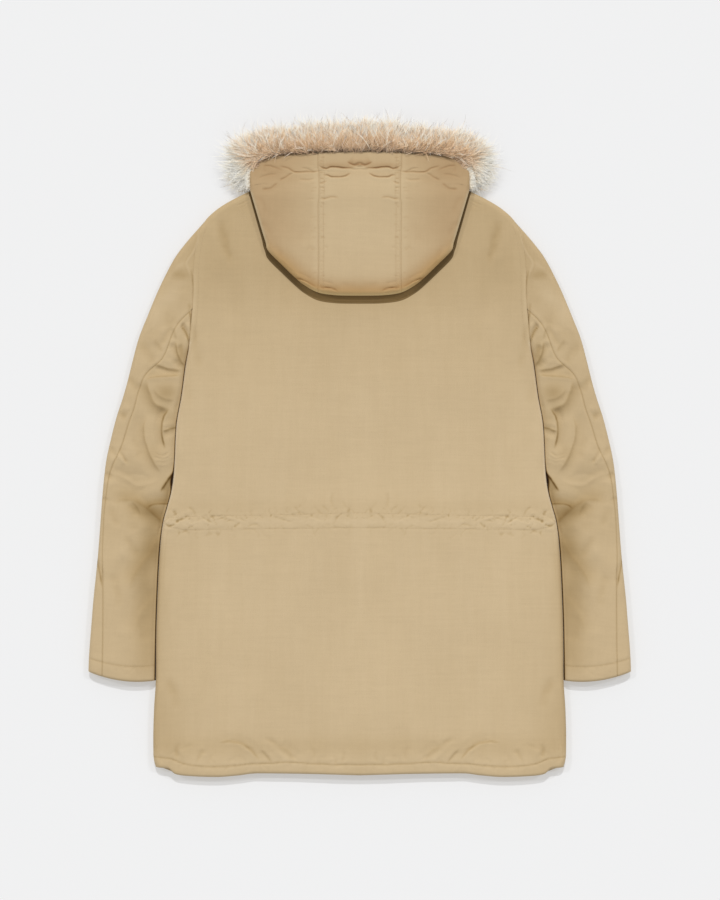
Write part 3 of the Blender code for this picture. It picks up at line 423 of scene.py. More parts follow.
def crease_painted_shade(h, k=0.09):
    """Painted shade at the bottom of creases and a little painted highlight on their ridges."""
    return 1 - k * np.clip(-h, 0, 2.2) + 0.25 * k * np.clip(h, 0, 1.5)


def strokes(line, lo, hi, pitch, reach, depth, width, seed, sign, gain=None, slant=0.75):
    """Small puckers that start at a stitched line, uneven in place, length, lean and depth."""
    rng = np.random.RandomState(seed)
    out, a = [], lo
    while a < hi:
        a += pitch * (0.4 + 1.2 * rng.rand())
        g = 1.0 if gain is None else float(gain(a))
        y0 = float(on_line(line, a))
        length = reach * (0.4 + 0.9 * rng.rand())
        lean, bow = rng.normal(0, slant), rng.normal(0, 0.28)
        p = ((a, y0 - sign * 1.5), (a + length * (lean * 0.5 + bow), y0 + sign * length * 0.5),
             (a + length * lean, y0 + sign * length))
        out.append((p, width * (0.7 + 0.7 * rng.rand()), depth * g * (0.45 + 0.9 * rng.rand()),
                    depth * g * (0.3 + 0.6 * rng.rand()), 1 if rng.rand() < 0.5 else -1))
    return out


def groove(d, width, depth):
    return -depth * np.exp(-(d / width) ** 2)


WAIST_UP = rounded(((0.0, 384.1), (60.5, 382.3), (150.0, 380.3), (231.6, 379.0), (262.0, 377.6), (290.0, 376.0)), 8)
WAIST_LOW = rounded(((0.0, 362.5), (86.6, 361.2), (173.6, 360.3), (247.5, 359.2), (268.0, 362.0), (290.0, 365.0)), 8)
HEM_LINE = rounded(((0.0, 18.7), (54.7, 19.3), (105.4, 21.3), (149.6, 19.9), (211.3, 15.7), (251.9, 19.0),
                    (276.0, 27.0), (292.0, 30.0)), 8)


def on_line(line, a):
    return np.interp(a, line[:, 0], line[:, 1])


def uneven_wave(s, seed, length):
    """A wave of uneven length and height along s, from -1 to 1, with round tops and sharp bottoms."""
    phase = s / length + 0.55 * noise(s, np.zeros_like(s), length * 2.3, seed)
    w = np.abs(np.sin(math.pi * phase))
    return (w * 2 - 1.25) * (0.55 + 0.45 * noise(s, np.ones_like(s) * 7.0, length * 3.1, seed + 1))


WAIST_PUCKERS = (
    # bunched cloth at the ends of the channel and loose folds beside it
    (((279.0, 384.5), (270.7, 386.0), (263.9, 373.8)), 2.0, 1.3, 1.0, 1),
    (((271.3, 369.5), (259.1, 373.9), (250.4, 378.7), (243.0, 378.0)), 1.9, 1.3, 1.0, -1),
    (((282.9, 368.6), (275.1, 363.5), (264.4, 367.1)), 1.8, 1.15, 0.9, 1),
    (((251.0, 394.2), (241.7, 386.0), (236.4, 371.4)), 1.9, 0.9, 0.8, 1),
    (((247.1, 369.5), (234.5, 373.4), (222.3, 380.2)), 1.7, 0.8, 0.8, -1),
    (((219.5, 390.9), (216.6, 382.0), (215.6, 374.3)), 1.8, 0.9, 0.6, 1),
    (((210.3, 388.0), (211.8, 380.0), (211.3, 372.8)), 1.6, 0.7, 0.5, -1),
    (((185.7, 360.8), (178.0, 366.0), (172.6, 371.0)), 1.8, 1.0, 0.7, 1),
    (((165.0, 362.2), (156.0, 367.0), (146.0, 366.0)), 1.8, 0.8, 0.6, -1),
    (((100.0, 396.0), (92.0, 390.0), (87.0, 382.0)), 2.2, 0.5, 0.5, 1),
    (((84.0, 397.0), (88.0, 390.0), (92.0, 383.0)), 2.2, 0.6, 0.4, -1),
    (((28.1, 401.9), (20.0, 394.0), (13.1, 385.4)), 2.6, 0.45, 0.5, 1),
    (((266.0, 352.0), (256.0, 356.0), (244.0, 354.0)), 2.6, 0.6, 0.6, 1),
    (((228.0, 350.0), (214.0, 354.0), (200.0, 351.0)), 3.0, 0.5, 0.5, -1),
)


def side_gain(a):
    return 0.72 + 0.38 * smooth(150.0, 250.0, a)


WAIST_STROKES = (
    strokes(WAIST_UP, 2.0, 278.0, 6.5, 11.0, 0.62, 1.35, 11, 1, side_gain, 0.9)
    + strokes(WAIST_UP, 2.0, 278.0, 5.5, 9.0, 0.70, 1.15, 12, -1, side_gain, 1.4)
    + strokes(WAIST_LOW, 2.0, 278.0, 8.0, 10.0, 0.50, 1.15, 13, 1, side_gain, 1.3)
    + strokes(WAIST_LOW, 2.0, 278.0, 13.0, 12.0, 0.35, 1.5, 14, -1, side_gain))


def waist_height(a, y):
    """The drawcord channel: two stitched lines, a round ridge between them, and gathers. Height, and a tone: darker
    stitched lines, a painted highlight along the ridge and painted shade in the puckers.
    """
    up, low = on_line(WAIST_UP, a), on_line(WAIST_LOW, a)
    up = up + 1.3 * noise(a, 0 * a, 15.0, 47) + 0.5 * noise(a, 0 * a, 5.0, 50)
    low = low + 0.8 * noise(a, 0 * a, 17.0, 48) + 0.3 * noise(a, 0 * a, 5.0, 51)
    side = smooth(120.0, 265.0, a)                    # gathered more towards the sides
    up_on = np.clip(0.30 + 0.95 * noise(a, 0 * a + 3.0, 13.0, 49), 0, 1)
    low_on = np.clip(0.36 + 0.85 * noise(a, 0 * a + 9.0, 16.0, 52), 0, 1)
    h = groove(y - up, 1.3, (0.28 + 0.2 * side) * up_on) + groove(y - low, 1.3, (0.36 + 0.1 * side) * low_on)
    tone = (1 - 0.045 * up_on * np.exp(-((y - up) / 1.2) ** 2)) * (1 - 0.06 * low_on * np.exp(-((y - low) / 1.1) ** 2))
    middle, half = (up + low) / 2, (up - low) / 2
    inside = np.clip(1 - ((y - middle) / half) ** 2, 0, 1)
    h = h + inside * (0.25 + 0.50 * side)
    near = np.abs(y - middle) < 52
    out = np.zeros_like(h)
    aa, yy = a[near], y[near]
    out[near] = (creases(aa, yy, WAIST_PUCKERS, 20, 0.80, 1.10, 0.5, 1.3)
                 + creases(aa, yy, WAIST_STROKES, 24, 0.90, 1.0, 0.5, 1.2))
    rough = noise(a * 0.8 + y * 0.5, y * 1.2, 5.5, 55) + 0.6 * noise(a, y * 1.5, 3.2, 56)
    # painted highlight along the ridge between the lines and painted shade just below it, then a faint uneven tone
    tone = tone * (1 + 0.024 * np.exp(-((y - middle + 1.0) / 5.0) ** 2) - 0.020 * np.exp(-((y - middle - 7.5) / 4.0) ** 2))
    tone = tone * (1 + 0.016 * rough * np.exp(-((y - middle - 2.0) / 8.5) ** 4))
    h = h + 0.12 * rough * inside
    # painted shade in the puckers' troughs
    above = 1 - 0.45 * smooth(0.0, 8.0, y - up) * (1 - smooth(225.0, 245.0, a))
    return h + out * 0.64 * above, tone * (1 - above * (0.34 + 0.15 * smooth(222.0, 258.0, a)) * np.clip(-out - 0.05, 0, 0.9))


HEM_STROKES = (
    strokes(HEM_LINE, 2.0, 284.0, 12.0, 16.0, 0.5, 2.0, 15, 1, None, 0.9)
    + strokes(HEM_LINE, 2.0, 284.0, 9.0, 11.0, 0.45, 1.8, 16, -1, None, 0.7))


def hem_height(a, y):
    line = on_line(HEM_LINE, a) + 0.8 * noise(a, 0 * a, 18.0, 54)
    d = y - line
    h = groove(d, 1.3, 0.50 + 0.25 * noise(a, 0 * a, 14.0, 53))
    h = h + 0.25 * np.exp(-((d + 5.5) / 4.5) ** 2) + 0.15 * np.exp(-((d - 6.0) / 5.0) ** 2)
    near = np.abs(d) < 40
    out = np.zeros_like(h)
    out[near] = creases(a[near], y[near], HEM_STROKES, 28, 0.8, 1.0, 0.5, 1.4)
    return h + out


def broad(a, y, seed, size=90.0, height=0.55):
    """The slow unevenness of wadded cloth that lies flat."""
    return (height * noise(a, y, size, seed) + 0.5 * height * noise(a, y, size * 0.45, seed + 1)
            + 0.10 * height * noise(a, y, size * 0.16, seed + 2))


def fold_height(a, y):
    h = np.zeros(np.shape(a))
    for x0, y0, x1, y1, half, height in FOLDS:
        dx, dy = x1 - x0, y1 - y0
        t = np.clip(((a - x0) * dx + (y - y0) * dy) / (dx * dx + dy * dy), 0, 1)
        d = np.hypot(a - x0 - t * dx, y - y0 - t * dy)
        h = h + height * np.exp(-(d / half) ** 2)
    return np.maximum(h, -2.0)


def top_height(region, a, level):
    if region == "body":
        u = np.minimum(1.0, a / body_half(level))
        return EDGE_HEIGHT + CROWN * (1 - u * u) + fold_height(a, level) * smooth(50.0, 62.0, level)
    lo, hi = inner_edge(level), sleeve_outer(level)
    u = np.clip((a - lo) / np.maximum(hi - lo, 1.0), 0, 1)
    return EDGE_HEIGHT + CROWN * 4 * u * (1 - u) * smooth(0, 60, hi - lo) + fold_height(a, level)


def flap_room(a):
    return (FLAP_THICK + FLAP_CLEAR) * (1 - smooth(FLAP_HALF + 1.0, FLAP_HALF + 11.0, a))


def layer(region, a, level, upper, room=False):
    """Points outside and inside a layer of cloth, and how flat it lies there (1) or turns over (0)."""
    a, level = np.broadcast_arrays(np.asarray(a, float), np.asarray(level, float))
    edges = []
    if region == "body":
        edges.append((silhouette(level), 1, np.where(level >= ARMPIT, 0.0, 1.0), stretch(silhouette, level)))
        edges.append((body_half(level), 1, np.where(level < SHOULDER_TIP, side_lift(level), 1.0),
                      stretch(body_half, level)))
    else:
        edges.append((sleeve_outer(level), 1, np.zeros_like(level), stretch(sleeve_outer, level)))
        edges.append((inner_edge(level), -1, side_lift(level), stretch(inner_edge, level)))
    sine, shift = np.ones_like(a), np.zeros_like(a)
    for edge, out, lift, k in edges:
        q = np.clip(1 - (edge - a) * out / (EDGE_R * k), 0, 1)
        s = np.sqrt(1 - q * q)
        sine = np.minimum(sine, s + (1 - s) * lift)
        shift = shift - out * WALL * k * q * (1 - lift)
    if upper:
        flat = top_height(region, a, level)
        inside = flat - WALL
    else:
        flat = flap_room(a) if room else np.zeros_like(a)
        inside = flat + WALL
    return a, MID + (flat - MID) * sine, a + shift, MID + (inside - MID) * sine, sine


def across(edge, out, k, reach, count, arcs):
    """Places from folded edges inwards, one row for each edge: a few round it, the rest over the flat."""
    edge, k, reach = (np.asarray(v, float)[:, None] for v in (edge, k, reach))
    quarter = EDGE_R * math.pi / 2
    r = EDGE_R * k
    total = np.where(reach < r, EDGE_R * np.arccos(np.clip(1 - reach / r, -1, 1)), quarter + reach - r)
    w = np.clip((total - quarter) / 20.0, 0, 1)
    i = np.arange(count + 1)[None, :]
    even = total * i / count
    natural = np.where(i <= arcs, quarter * i / arcs, quarter + (total - quarter) * (i - arcs) / (count - arcs))
    s = even + (natural - even) * w
    d = np.where(s < quarter, r * (1 - np.cos(np.minimum(s, quarter) / EDGE_R)), r + s - quarter)
    return edge - out * np.minimum(d, reach)


def levels(*parts):
    """Row levels: parts are (from, to, spacing)."""
    out = []
    for lo, hi, step in parts:
        n = max(1, int(round((hi - lo) / step)))
        out.extend(lo + (hi - lo) * np.arange(n) / n)
    out.append(parts[-1][1])
    return np.array(out)


# ---------------------------------------------------------------- making shells
def spread_subset(n, step):
    """Every step-th index of n, with the first and the last."""
    keep = list(range(0, n, step))
    if keep[-1] != n - 1:
        keep.append(n - 1)
    return keep


def shell(name, outside, inside, grids, mat, mirror=1, shade=None, shadow_band=None, deep=None):
    """A closed wall of cloth. outside and inside are points for each vertex number, and grids are
    (vertex numbers by row and column, kept rows, kept columns): the outer skin has every vertex,
    the inner one only the kept rows and columns, and each open edge gets a rim between them."""
    used = np.unique(np.concatenate([g[0].ravel() for g in grids]))
    coarse = np.unique(np.concatenate([g[0][np.ix_(g[1], g[2])].ravel() for g in grids]))
    to_out = {int(v): i for i, v in enumerate(used)}
    to_in = {int(v): len(used) + i for i, v in enumerate(coarse)}
    pts = np.vstack([outside[used], inside[coarse]])
    pts[:, 0] *= mirror
    lut = np.full(len(outside), -1)
    lut[used] = np.arange(len(used))
    faces, borders = [], {}
    for ids, rows, cols in grids:
        g = lut[ids]
        q = np.stack([g[:-1, :-1], g[:-1, 1:], g[1:, 1:], g[1:, :-1]], -1).reshape(-1, 4)
        faces.extend(map(tuple, q.tolist()))
        for j0, j1 in zip(rows, rows[1:]):
            for i0, i1 in zip(cols, cols[1:]):
                c = [int(ids[j0, i0]), int(ids[j0, i1]), int(ids[j1, i1]), int(ids[j1, i0])]
                if len(set(c)) < 3:
                    continue
                faces.append(tuple(to_in[v] for v in reversed(c)))
                paths = (ids[j0, i0:i1 + 1], ids[j0:j1 + 1, i1], ids[j1, i0:i1 + 1][::-1], ids[j0:j1 + 1, i0][::-1])
                for path in paths:
                    borders[(int(path[0]), int(path[-1]))] = [int(v) for v in path]
    for (p, q), path in borders.items():
        if (q, p) not in borders:
            faces.append(tuple([to_out[v] for v in reversed(path)] + [to_in[p], to_in[q]]))
    if mirror < 0:
        faces = [tuple(reversed(f)) for f in faces]
    mesh = bpy.data.meshes.new(name)
    xyz = pts * MM
    xyz[:, 1] -= Y_SHIFT * MM
    mesh.from_pydata(xyz.tolist(), [], faces)
    # painted shade: Shade darkens the inner skin and rims to 0.6 and carries the outer skin's painted shade and
    # highlight; the other two carry the hood's painted shadow and its deeper or warmer painted shade
    for label, values, rest, plain in (("Shade", shade, 0.6, 1.0), ("PaintedShadow", shadow_band, 50.0, 50.0), ("DeeperShade", deep, 0.0, 0.0)):
        all_values = np.full(len(pts), rest if values is not None else plain)
        if values is not None:
            all_values[:len(used)] = np.asarray(values).reshape(-1)[used]
        mesh.attributes.new(label, "FLOAT", "POINT").data.foreach_set("value", all_values.astype(np.float32))
    mesh.materials.append(mat)
    mesh.shade_smooth()
    mesh.set_sharp_from_angle(angle=math.radians(52))
    obj = bpy.data.objects.new(name, mesh)
    bpy.context.scene.collection.objects.link(obj)
    return obj


def outward(obj):
    """Turns the faces out if the mesh's volume comes out negative."""
    me = obj.data
    me.calc_loop_triangles()
    co = np.zeros(len(me.vertices) * 3)
    me.vertices.foreach_get("co", co)
    co = co.reshape(-1, 3)
    tri = np.zeros(len(me.loop_triangles) * 3, int)
    me.loop_triangles.foreach_get("vertices", tri)
    t = co[tri.reshape(-1, 3)]
    volume = np.einsum("ij,ij->i", t[:, 0], np.cross(t[:, 1], t[:, 2])).sum() / 6
    if volume < 0:
        me.flip_normals()
    return obj


def back_y(level, a):
    y = np.asarray(level, float) + 0.0 * a
    y = y - NECK_DROP_BACK * np.maximum(0.0, 1 - (a / NECK_HALF) ** 2) * smooth(780, NECK, level)
    return y + hem_rise(a) * np.maximum(0.0, 1 - level / 60.0)


def front_y(level, a):
    y = np.asarray(level, float) + 0.0 * a
    y = y - NECK_DROP_FRONT * np.maximum(0.0, 1 - (a / NECK_HALF) ** 2) * smooth(640, NECK, level)
    return y + hem_rise(a) * np.maximum(0.0, 1 - level / 60.0)


def sleeve_y(level, a):
    w = 1 - smooth(CUFF, 230, level)
    lo, hi = inner_edge(level), sleeve_outer(level)
    u = np.clip((a - lo) / (hi - lo), 0, 1)
    return level + (13.0 * u * u - 14.0 * u * (1 - u)) * w


def lip(d, reach, drop):
    """A rim's rounding: how far the outer skin falls at distance d from the open edge."""
    q = np.clip(1 - d / reach, 0, 1)
    return drop * (1 - np.sqrt(1 - q * q))


def armhole_seam(d):
    """The seam's turned-in edge and its row of top stitching 7 mm beside it."""
    return groove(d, 1.3, 0.8) + groove(d - 7.5, 1.3, 0.35) + 0.3 * np.exp(-((d - 3.6) / 2.4) ** 2)


# A soft oval patch of painted shade.
def spot(a, y, a0, y0, ra, ry, depth):
    return 1 - depth * np.exp(-((a - a0) / ra) ** 2 - ((y - y0) / ry) ** 2)


ARM_RIDGE = rounded(((233.7, 796.0), (235.0, 781.0), (238.1, 769.2), (243.2, 759.0), (248.6, 751.5), (251.2, 745.5),
                     (249.6, 738.8), (246.0, 731.5), (243.6, 722.0)), 5)


def arm_ridge(a, y):
    """The armhole seam's allowance shows through the upper sleeve head as a faint ridge. A painted highlight along it
    with painted shade beside it, and its height.
    """
    d, t = line_field(a, y, ARM_RIDGE)
    on = smooth(0.0, 0.12, t) * (1 - smooth(0.86, 1.0, t))
    return 1 + on * (0.09 * np.exp(-(d / 1.7) ** 2) - 0.05 * np.exp(-((d - 2.9) / 1.6) ** 2)), 0.5 * on * np.exp(-(d / 2.0) ** 2)


HEM_LEDGES = (
    (((206.6, 49.0), (195.0, 51.5), (185.2, 51.5), (167.8, 47.1), (153.3, 34.1), (145.0, 21.5)), 5.0, 0.8, 0.05, 0.22, -1),
    (((143.7, 42.0), (136.0, 33.0), (127.3, 21.5)), 4.0, 0.7, 0.04, 0.12, 1),
    (((118.0, 46.0), (104.0, 36.0), (93.3, 22.8)), 5.0, 0.8, 0.03, 0.05, -1),
    (((226.0, 44.0), (233.0, 33.0), (236.0, 20.0)), 4.0, 0.5, 0.02, 0.04, 1),
)


def back_detail(a, y):
    """Height of all small shapes of the back's outer skin over its plain form, and a tone: the painted shade and
    highlight that go with them, and darker stitched and seam lines.
    """
    fine, tone = ledges(a, y, HEM_LEDGES, 66)
    h, waist_tone = waist_height(a, y)
    tone = tone * waist_tone * (1 - 0.20 * np.exp(-((y - on_line(HEM_LINE, a) - 0.8 * noise(a, 0 * a, 18.0, 54)) / 1.1) ** 2))
    h = h + hem_height(a, y)
    c = creases(a, y, BACK_CREASES, 60, 1.25)
    tone = tone * crease_painted_shade(h + c)
    ridge_tone, ridge = arm_ridge(a, y)
    tone, h = tone * ridge_tone, h + ridge
    h = h + c + fine
    h = h + broad(a, y, 70, 120.0, 0.8) + 0.22 * noise(a, y * 0.22, 24.0, 75)
    d = body_half(y) - a
    h = h + np.where(y > ARMPIT - 6, armhole_seam(d) * smooth(ARMPIT - 10, ARMPIT + 14, y)
                     * (1 - 0.55 * smooth(655.0, 672.0, y)) * (1 - 0.98 * smooth(710.0, 740.0, y)), 0.0)
    # painted highlight: a pale line beside the armhole seam
    tone = tone * (1 + np.where(y > ARMPIT, 0.065 * np.exp(-((d - 2.4) / 1.9) ** 2) * smooth(640.0, 690.0, y)
                                * (1 - smooth(724.0, 748.0, y)), 0.0))
    tone = tone * (1 - np.where(y > ARMPIT - 6, 0.20 * np.exp(-(d / 0.9) ** 2)
                                * (smooth(690.0, 708.0, y) * (1 - smooth(716.0, 730.0, y)) + 1 - smooth(646.0, 664.0, y)), 0.0))
    # painted highlight along the body's rolled side edge
    tone = tone * (1 + np.where(y < ARMPIT, 0.34 * np.exp(-(np.maximum(d - 0.6, 0.0) / 2.2) ** 2) * smooth(330.0, 380.0, y), 0.0))
    # painted shade within 10 mm of the lower side edge
    tone = tone * (1 - 0.19 * np.exp(-d / 10.0) * (1 - smooth(310.0, 360.0, y)) * smooth(20.0, 70.0, y))
    tone = tone * (1 - 0.05 * np.exp(-((d - 8.8) / 1.0) ** 2) * smooth(255.0, 300.0, y) * (1 - smooth(352.0, 366.0, y)))
    # turned facing beside the side vent
    facing, _ = line_field(a, y, ((293.9, 83.0), (291.6, 50.0), (288.0, 22.5)))
    h = h + np.where(y < 86, groove(facing, 1.3, 0.8) * (1 - smooth(74.0, 86.0, y)), 0.0)
    # slack beside the side seam
    h = h - 0.7 * np.exp(-((d - 18.0) / 13.0) ** 2) * smooth(60.0, 130.0, y) * (1 - smooth(560.0, 620.0, y)) \
        * (0.6 + 0.5 * noise(a * 0.3, y, 70.0, 77))
    return h, tone


def back_shade(a, y):
    """Painted shade where the cloth lies lower or turns away from the light and under folds, a little painted light
    over the middle of the back, and a faint uneven tone.
    """
    s = (1 - 0.115 * smooth(650.0, 752.0, y)) * (1 - 0.050 * smooth(520.0, 640.0, y)) * 0.99
    s = s * (1 - 0.028 * smooth(170.0, 270.0, a) * (1 - smooth(300.0, 380.0, y)))
    s = s * (1 + 0.022 * np.exp(-((y - 235.0) / 150.0) ** 2))
    s = s * (1 - 0.085 * np.exp(-((y - 44.0) / 17.0) ** 2)) * (1 - 0.03 * np.exp(-((y - 8.0) / 10.0) ** 2))
    s = s * (1 - 0.045 * np.exp(-((y - 392.0) / 11.0) ** 2))
    s = s * spot(a, y, 280.0, 84.0, 22.0, 45.0, 0.06) * spot(a, y, 60.0, 690.0, 120.0, 34.0, 0.035)
    s = s * spot(a, y, 196.0, 778.0, 7.5, 32.0, 0.025) * spot(a, y, 200.0, 765.0, 16.0, 40.0, 0.02) * spot(a, y, 172.0, 826.0, 16.0, 5.0, 0.05)
    return s * (1 + 0.012 * noise(a, y * 0.2, 30.0, 78) + 0.012 * noise(a + 0.04 * y, y * 0.20, 10.0, 79))


SHADOW_DROP = 10.8


def hood_shadow_band(a, y):
    """How far a place lies inside the shadow that the hood's edge casts on the back, the outline moved down by
    SHADOW_DROP, in mm; this shadow is painted into the back's colour.
    """
    x = a - (0.5 * (1 - smooth(795.0, 845.0, y)) + 1.2 * np.exp(-((y - 768.0) / 9.0) ** 2)) * smooth(90.0, 125.0, a)
    v = y + SHADOW_DROP + 0.5
    d, _ = line_field(x, v, OUTLINE)
    inside = x < np.interp(v, OUTLINE[::-1, 1], OUTLINE[::-1, 0], left=-1.0)
    return np.where(inside, np.abs(d), -np.abs(d))


def make_back(mat):
    lv = levels((0, 60, 1.8), (60, 340, 5.4), (340, 350, 2.4), (350, 400, 1.15), (400, 410, 2.4), (410, 684, 5.4),
                (684, 780, 2.5), (780, 872.2, 3.8))
    half, arcs = 152, 9
    edge = body_half(lv)
    k = np.where((lv < ARMPIT) | (lv >= SHOULDER_TIP), stretch(body_half, lv), 1.0)
    a = across(edge, 1, k, edge, half, arcs)
    level = lv[:, None] + 0 * a
    xo, zo, xi, zi, sine = layer("body", a, level, True)
    yo, yi = back_y(level, xo), back_y(level, xi)
    h, tone = back_detail(a, yo)
    calm = np.clip((sine - 0.35) / 0.5, 0, 1)
    zo = zo + h * calm
    zo = zo - lip(yo - (hem_rise(a)), 5.0, 3.4)                                   # rolled hem
    shoulder = np.where(level > SHOULDER_TIP, 1.0, 0.0)
    zo, zi = np.maximum(zo, MID + SEAM / 2), np.maximum(zi, MID + SEAM / 2)
    r, c = a.shape
    out = np.zeros((r, 2 * half + 1, 3))
    ins = np.zeros((r, 2 * half + 1, 3))
    tones = np.zeros((r, 2 * half + 1))
    for side, sl in ((-1, slice(0, half + 1)), (1, slice(2 * half, half - 1, -1))):
        tones[:, sl] = tone
        out[:, sl] = np.stack([side * xo, yo, zo], -1)
        ins[:, sl] = np.stack([side * xi, yi, zi], -1)
    out[:, half, 0] = ins[:, half, 0] = 0.0
    ids = np.arange(r * (2 * half + 1)).reshape(r, -1)
    keep_c = sorted(set([0, 3, 6, 9] + list(range(9, half, 8)) + [half]))
    keep_c = sorted(set(keep_c + [2 * half - i for i in keep_c]))
    aa = np.abs(out[..., 0])
    shadow_band = hood_shadow_band(aa, out[..., 1])
    # painted shade and highlight, the hood's painted shadow, and how much deeper that painted shadow is towards the
    # sides
    return shell("back_shell", out.reshape(-1, 3), ins.reshape(-1, 3), [(ids, spread_subset(r, 5), keep_c)], mat, 1,
                 back_shade(aa, out[..., 1]) * tones, -shadow_band, 0.36 * smooth(70.0, 100.0, aa))


def front_detail(a, y, seed):
    h = 0.9 * np.abs(creases(a, y, BACK_CREASES, seed)) + 0.5 * np.abs(broad(a, y, seed + 5, 80.0, 0.8))
    up, low = on_line(WAIST_UP, a), on_line(WAIST_LOW, a)
    h = h + 1.1 * np.exp(-((y - up) / 1.9) ** 2) + 1.1 * np.exp(-((y - low) / 1.9) ** 2)
    h = h + 1.0 * np.exp(-((y - on_line(HEM_LINE, a)) / 1.9) ** 2)
    middle = (up + low) / 2
    h = h + np.exp(-((y - middle) / 16.0) ** 2) * 0.9 * np.clip(uneven_wave(a, seed + 9, 12.0) + 0.6, 0, 2) * 0.6
    return h


def make_front(mirror, name, mat):
    lv = levels((0, 60, 3.0), (60, 338, 7.0), (338, 408, 2.6), (408, 872.2, 7.0))
    edge = body_half(lv)
    k = np.where((lv < ARMPIT) | (lv >= SHOULDER_TIP), stretch(body_half, lv), 1.0)
    a = across(edge, 1, k, edge - (FLAP_HALF + 11.0), 52, 5)
    mid_cols = np.array([43.0, 41.0, 39.0, 37.0, FLAP_HALF + 1.0, 22.0, 10.0, SEAM / 2])
    a = np.hstack([a, np.repeat(mid_cols[None, :], len(lv), 0)])
    level = lv[:, None] + 0 * a
    xo, zo, xi, zi, sine = layer("body", a, level, False, True)
    yo = front_y(level, xo)
    h = front_detail(a, yo, 160 if mirror > 0 else 190)
    zo = zo + h * np.clip((sine - 0.5) / 0.4, 0, 1) * smooth(FLAP_HALF + 8, FLAP_HALF + 20, a)
    zo = zo + lip(yo - hem_rise(a), 4.0, 2.4)
    zo, zi = np.minimum(zo, MID - SEAM / 2), np.minimum(zi, MID - SEAM / 2)
    xi = np.maximum(xi, SEAM / 2)
    yi = front_y(level, xi)
    r, c = a.shape
    ids = np.arange(r * c).reshape(r, c)
    return shell(name, np.stack([xo, yo, zo], -1).reshape(-1, 3), np.stack([xi, yi, zi], -1).reshape(-1, 3),
                 [(ids, spread_subset(r, 4), sorted(set(spread_subset(c, 4) + [52, 56])))], mat, mirror)


def make_flap(mat):
    top = NECK - NECK_DROP_FRONT - 3.0
    ys = levels((5.0, 12.0, 1.8), (12.0, top - 4, 9.0), (top - 4, top, 1.4))
    xs = np.array([0, 0.5, 1.4, 3.0, 6.0, 7.5, 9.0, 14, 24, 35, 46, 56, 61, 62.5, 64, 67, 68.6, 69.5, 70]) - 35.0
    y, x = np.meshgrid(ys, xs, indexing="ij")
    z = np.zeros_like(x)
    edge = np.minimum(35 - np.abs(x), np.minimum(y - 5.0, top - y))
    z = z + lip(edge, 2.2, 1.3)
    stitched = np.minimum(np.abs(np.abs(x) - 27.5), np.minimum(np.abs(y - 12.5), np.abs(y - top + 7.5)))
    z = z + 0.55 * np.exp(-(stitched / 1.1) ** 2) + 0.25 * np.abs(noise(x, y, 40.0, 7))
    out = np.stack([x, y, z], -1)
    ins = np.stack([x, y, np.full_like(x, FLAP_THICK)], -1)
    r, c = x.shape
    ids = np.arange(r * c).reshape(r, c)
    return shell("front_flap_shell", out.reshape(-1, 3), ins.reshape(-1, 3),
                 [(ids, spread_subset(r, 4), [0, 4, 9, 14, 18])], mat)


def seam_place(level):
    return np.where(level >= 679.0, inner_edge(level), seam_line(level))


CUFF_LINE = np.array([[200.0, CUFF + 22.0], [420.0, CUFF + 22.0]])
CUFF_STROKES = (
    strokes(CUFF_LINE, 285.0, 396.0, 11.0, 15.0, 0.6, 2.0, 17, 1, None, 0.8)
    + strokes(CUFF_LINE, 285.0, 396.0, 10.0, 11.0, 0.45, 1.8, 18, -1, None, 0.7))




def sleeve_detail(a, y, level, upper, which):
    """Small shapes of a sleeve's outer skin, and a tone of painted shade and highlight with darker seam and cuff lines.
    which is 'top' or 'under'.
    """
    gain = 1.5 if upper else 1.0
    shift = 0.0 if upper else 37.0
    h = creases(a, y + shift, SLEEVE_CREASES, 80 if upper else 95, gain, 1.0)
    h = h + creases(a, y + shift, TOP_SLEEVE_CREASES, 84 if upper else 97, gain, 1.1)
    tone = np.ones_like(h)
    if upper:
        fine, tone = ledges(a, y, SLEEVE_LEDGES, 180, 0.35)
        tone = tone * crease_painted_shade(h, 0.085)
        h = h + fine
    h = h + broad(a, y + shift, 90, 62.0, 0.9)
    if upper and which == "top":
        ridge_tone, ridge = arm_ridge(a, y)
        tone, h = tone * ridge_tone, h + ridge
    if upper:
        s = seam_place(level)
        d = (s - a) if which == "under" else (a - s)
        slant = stretch(seam_place, level)
        d = d / slant
        on = 1 - smooth(672.0, 684.0, level)
        h = h + groove(d, 1.0, 0.5) * on
        tone = tone * (1 - 0.17 * on * np.exp(-(d / 1.0) ** 2))
        h = h + 0.25 * on * np.exp(-((d - 3.5) / 2.4) ** 2)
    # cuff: a stitched hem 22 mm deep with small puckers
    cuff = level - CUFF
    d = cuff - 22.0
    h = h + groove(d, 1.3, 0.5) + 0.2 * np.exp(-((d - 6.0) / 5.0) ** 2) + 0.2 * np.exp(-((cuff - 12.0) / 6.0) ** 2)
    tone = tone * (1 - 0.15 * np.exp(-(d / 1.1) ** 2))
    near = np.abs(d) < 36
    out = np.zeros_like(h)
    out[near] = creases(a[near], level[near], CUFF_STROKES, 30, 0.5, 1.0, 0.5, 1.4)
    return h + out, tone


def tuck(a, level):
    """The sleeve sinks beside the body, more round the elbow and below."""
    d = np.maximum(0.0, (a - inner_edge(level)))
    deep = 2.0 + 3.2 * smooth(440.0, 405.0, level) * smooth(150.0, 210.0, level)
    w = 1 - smooth(0.0, 30.0, d)
    return deep * w * (1 - smooth(560.0, 640.0, level)) * smooth(140.0, 170.0, level)


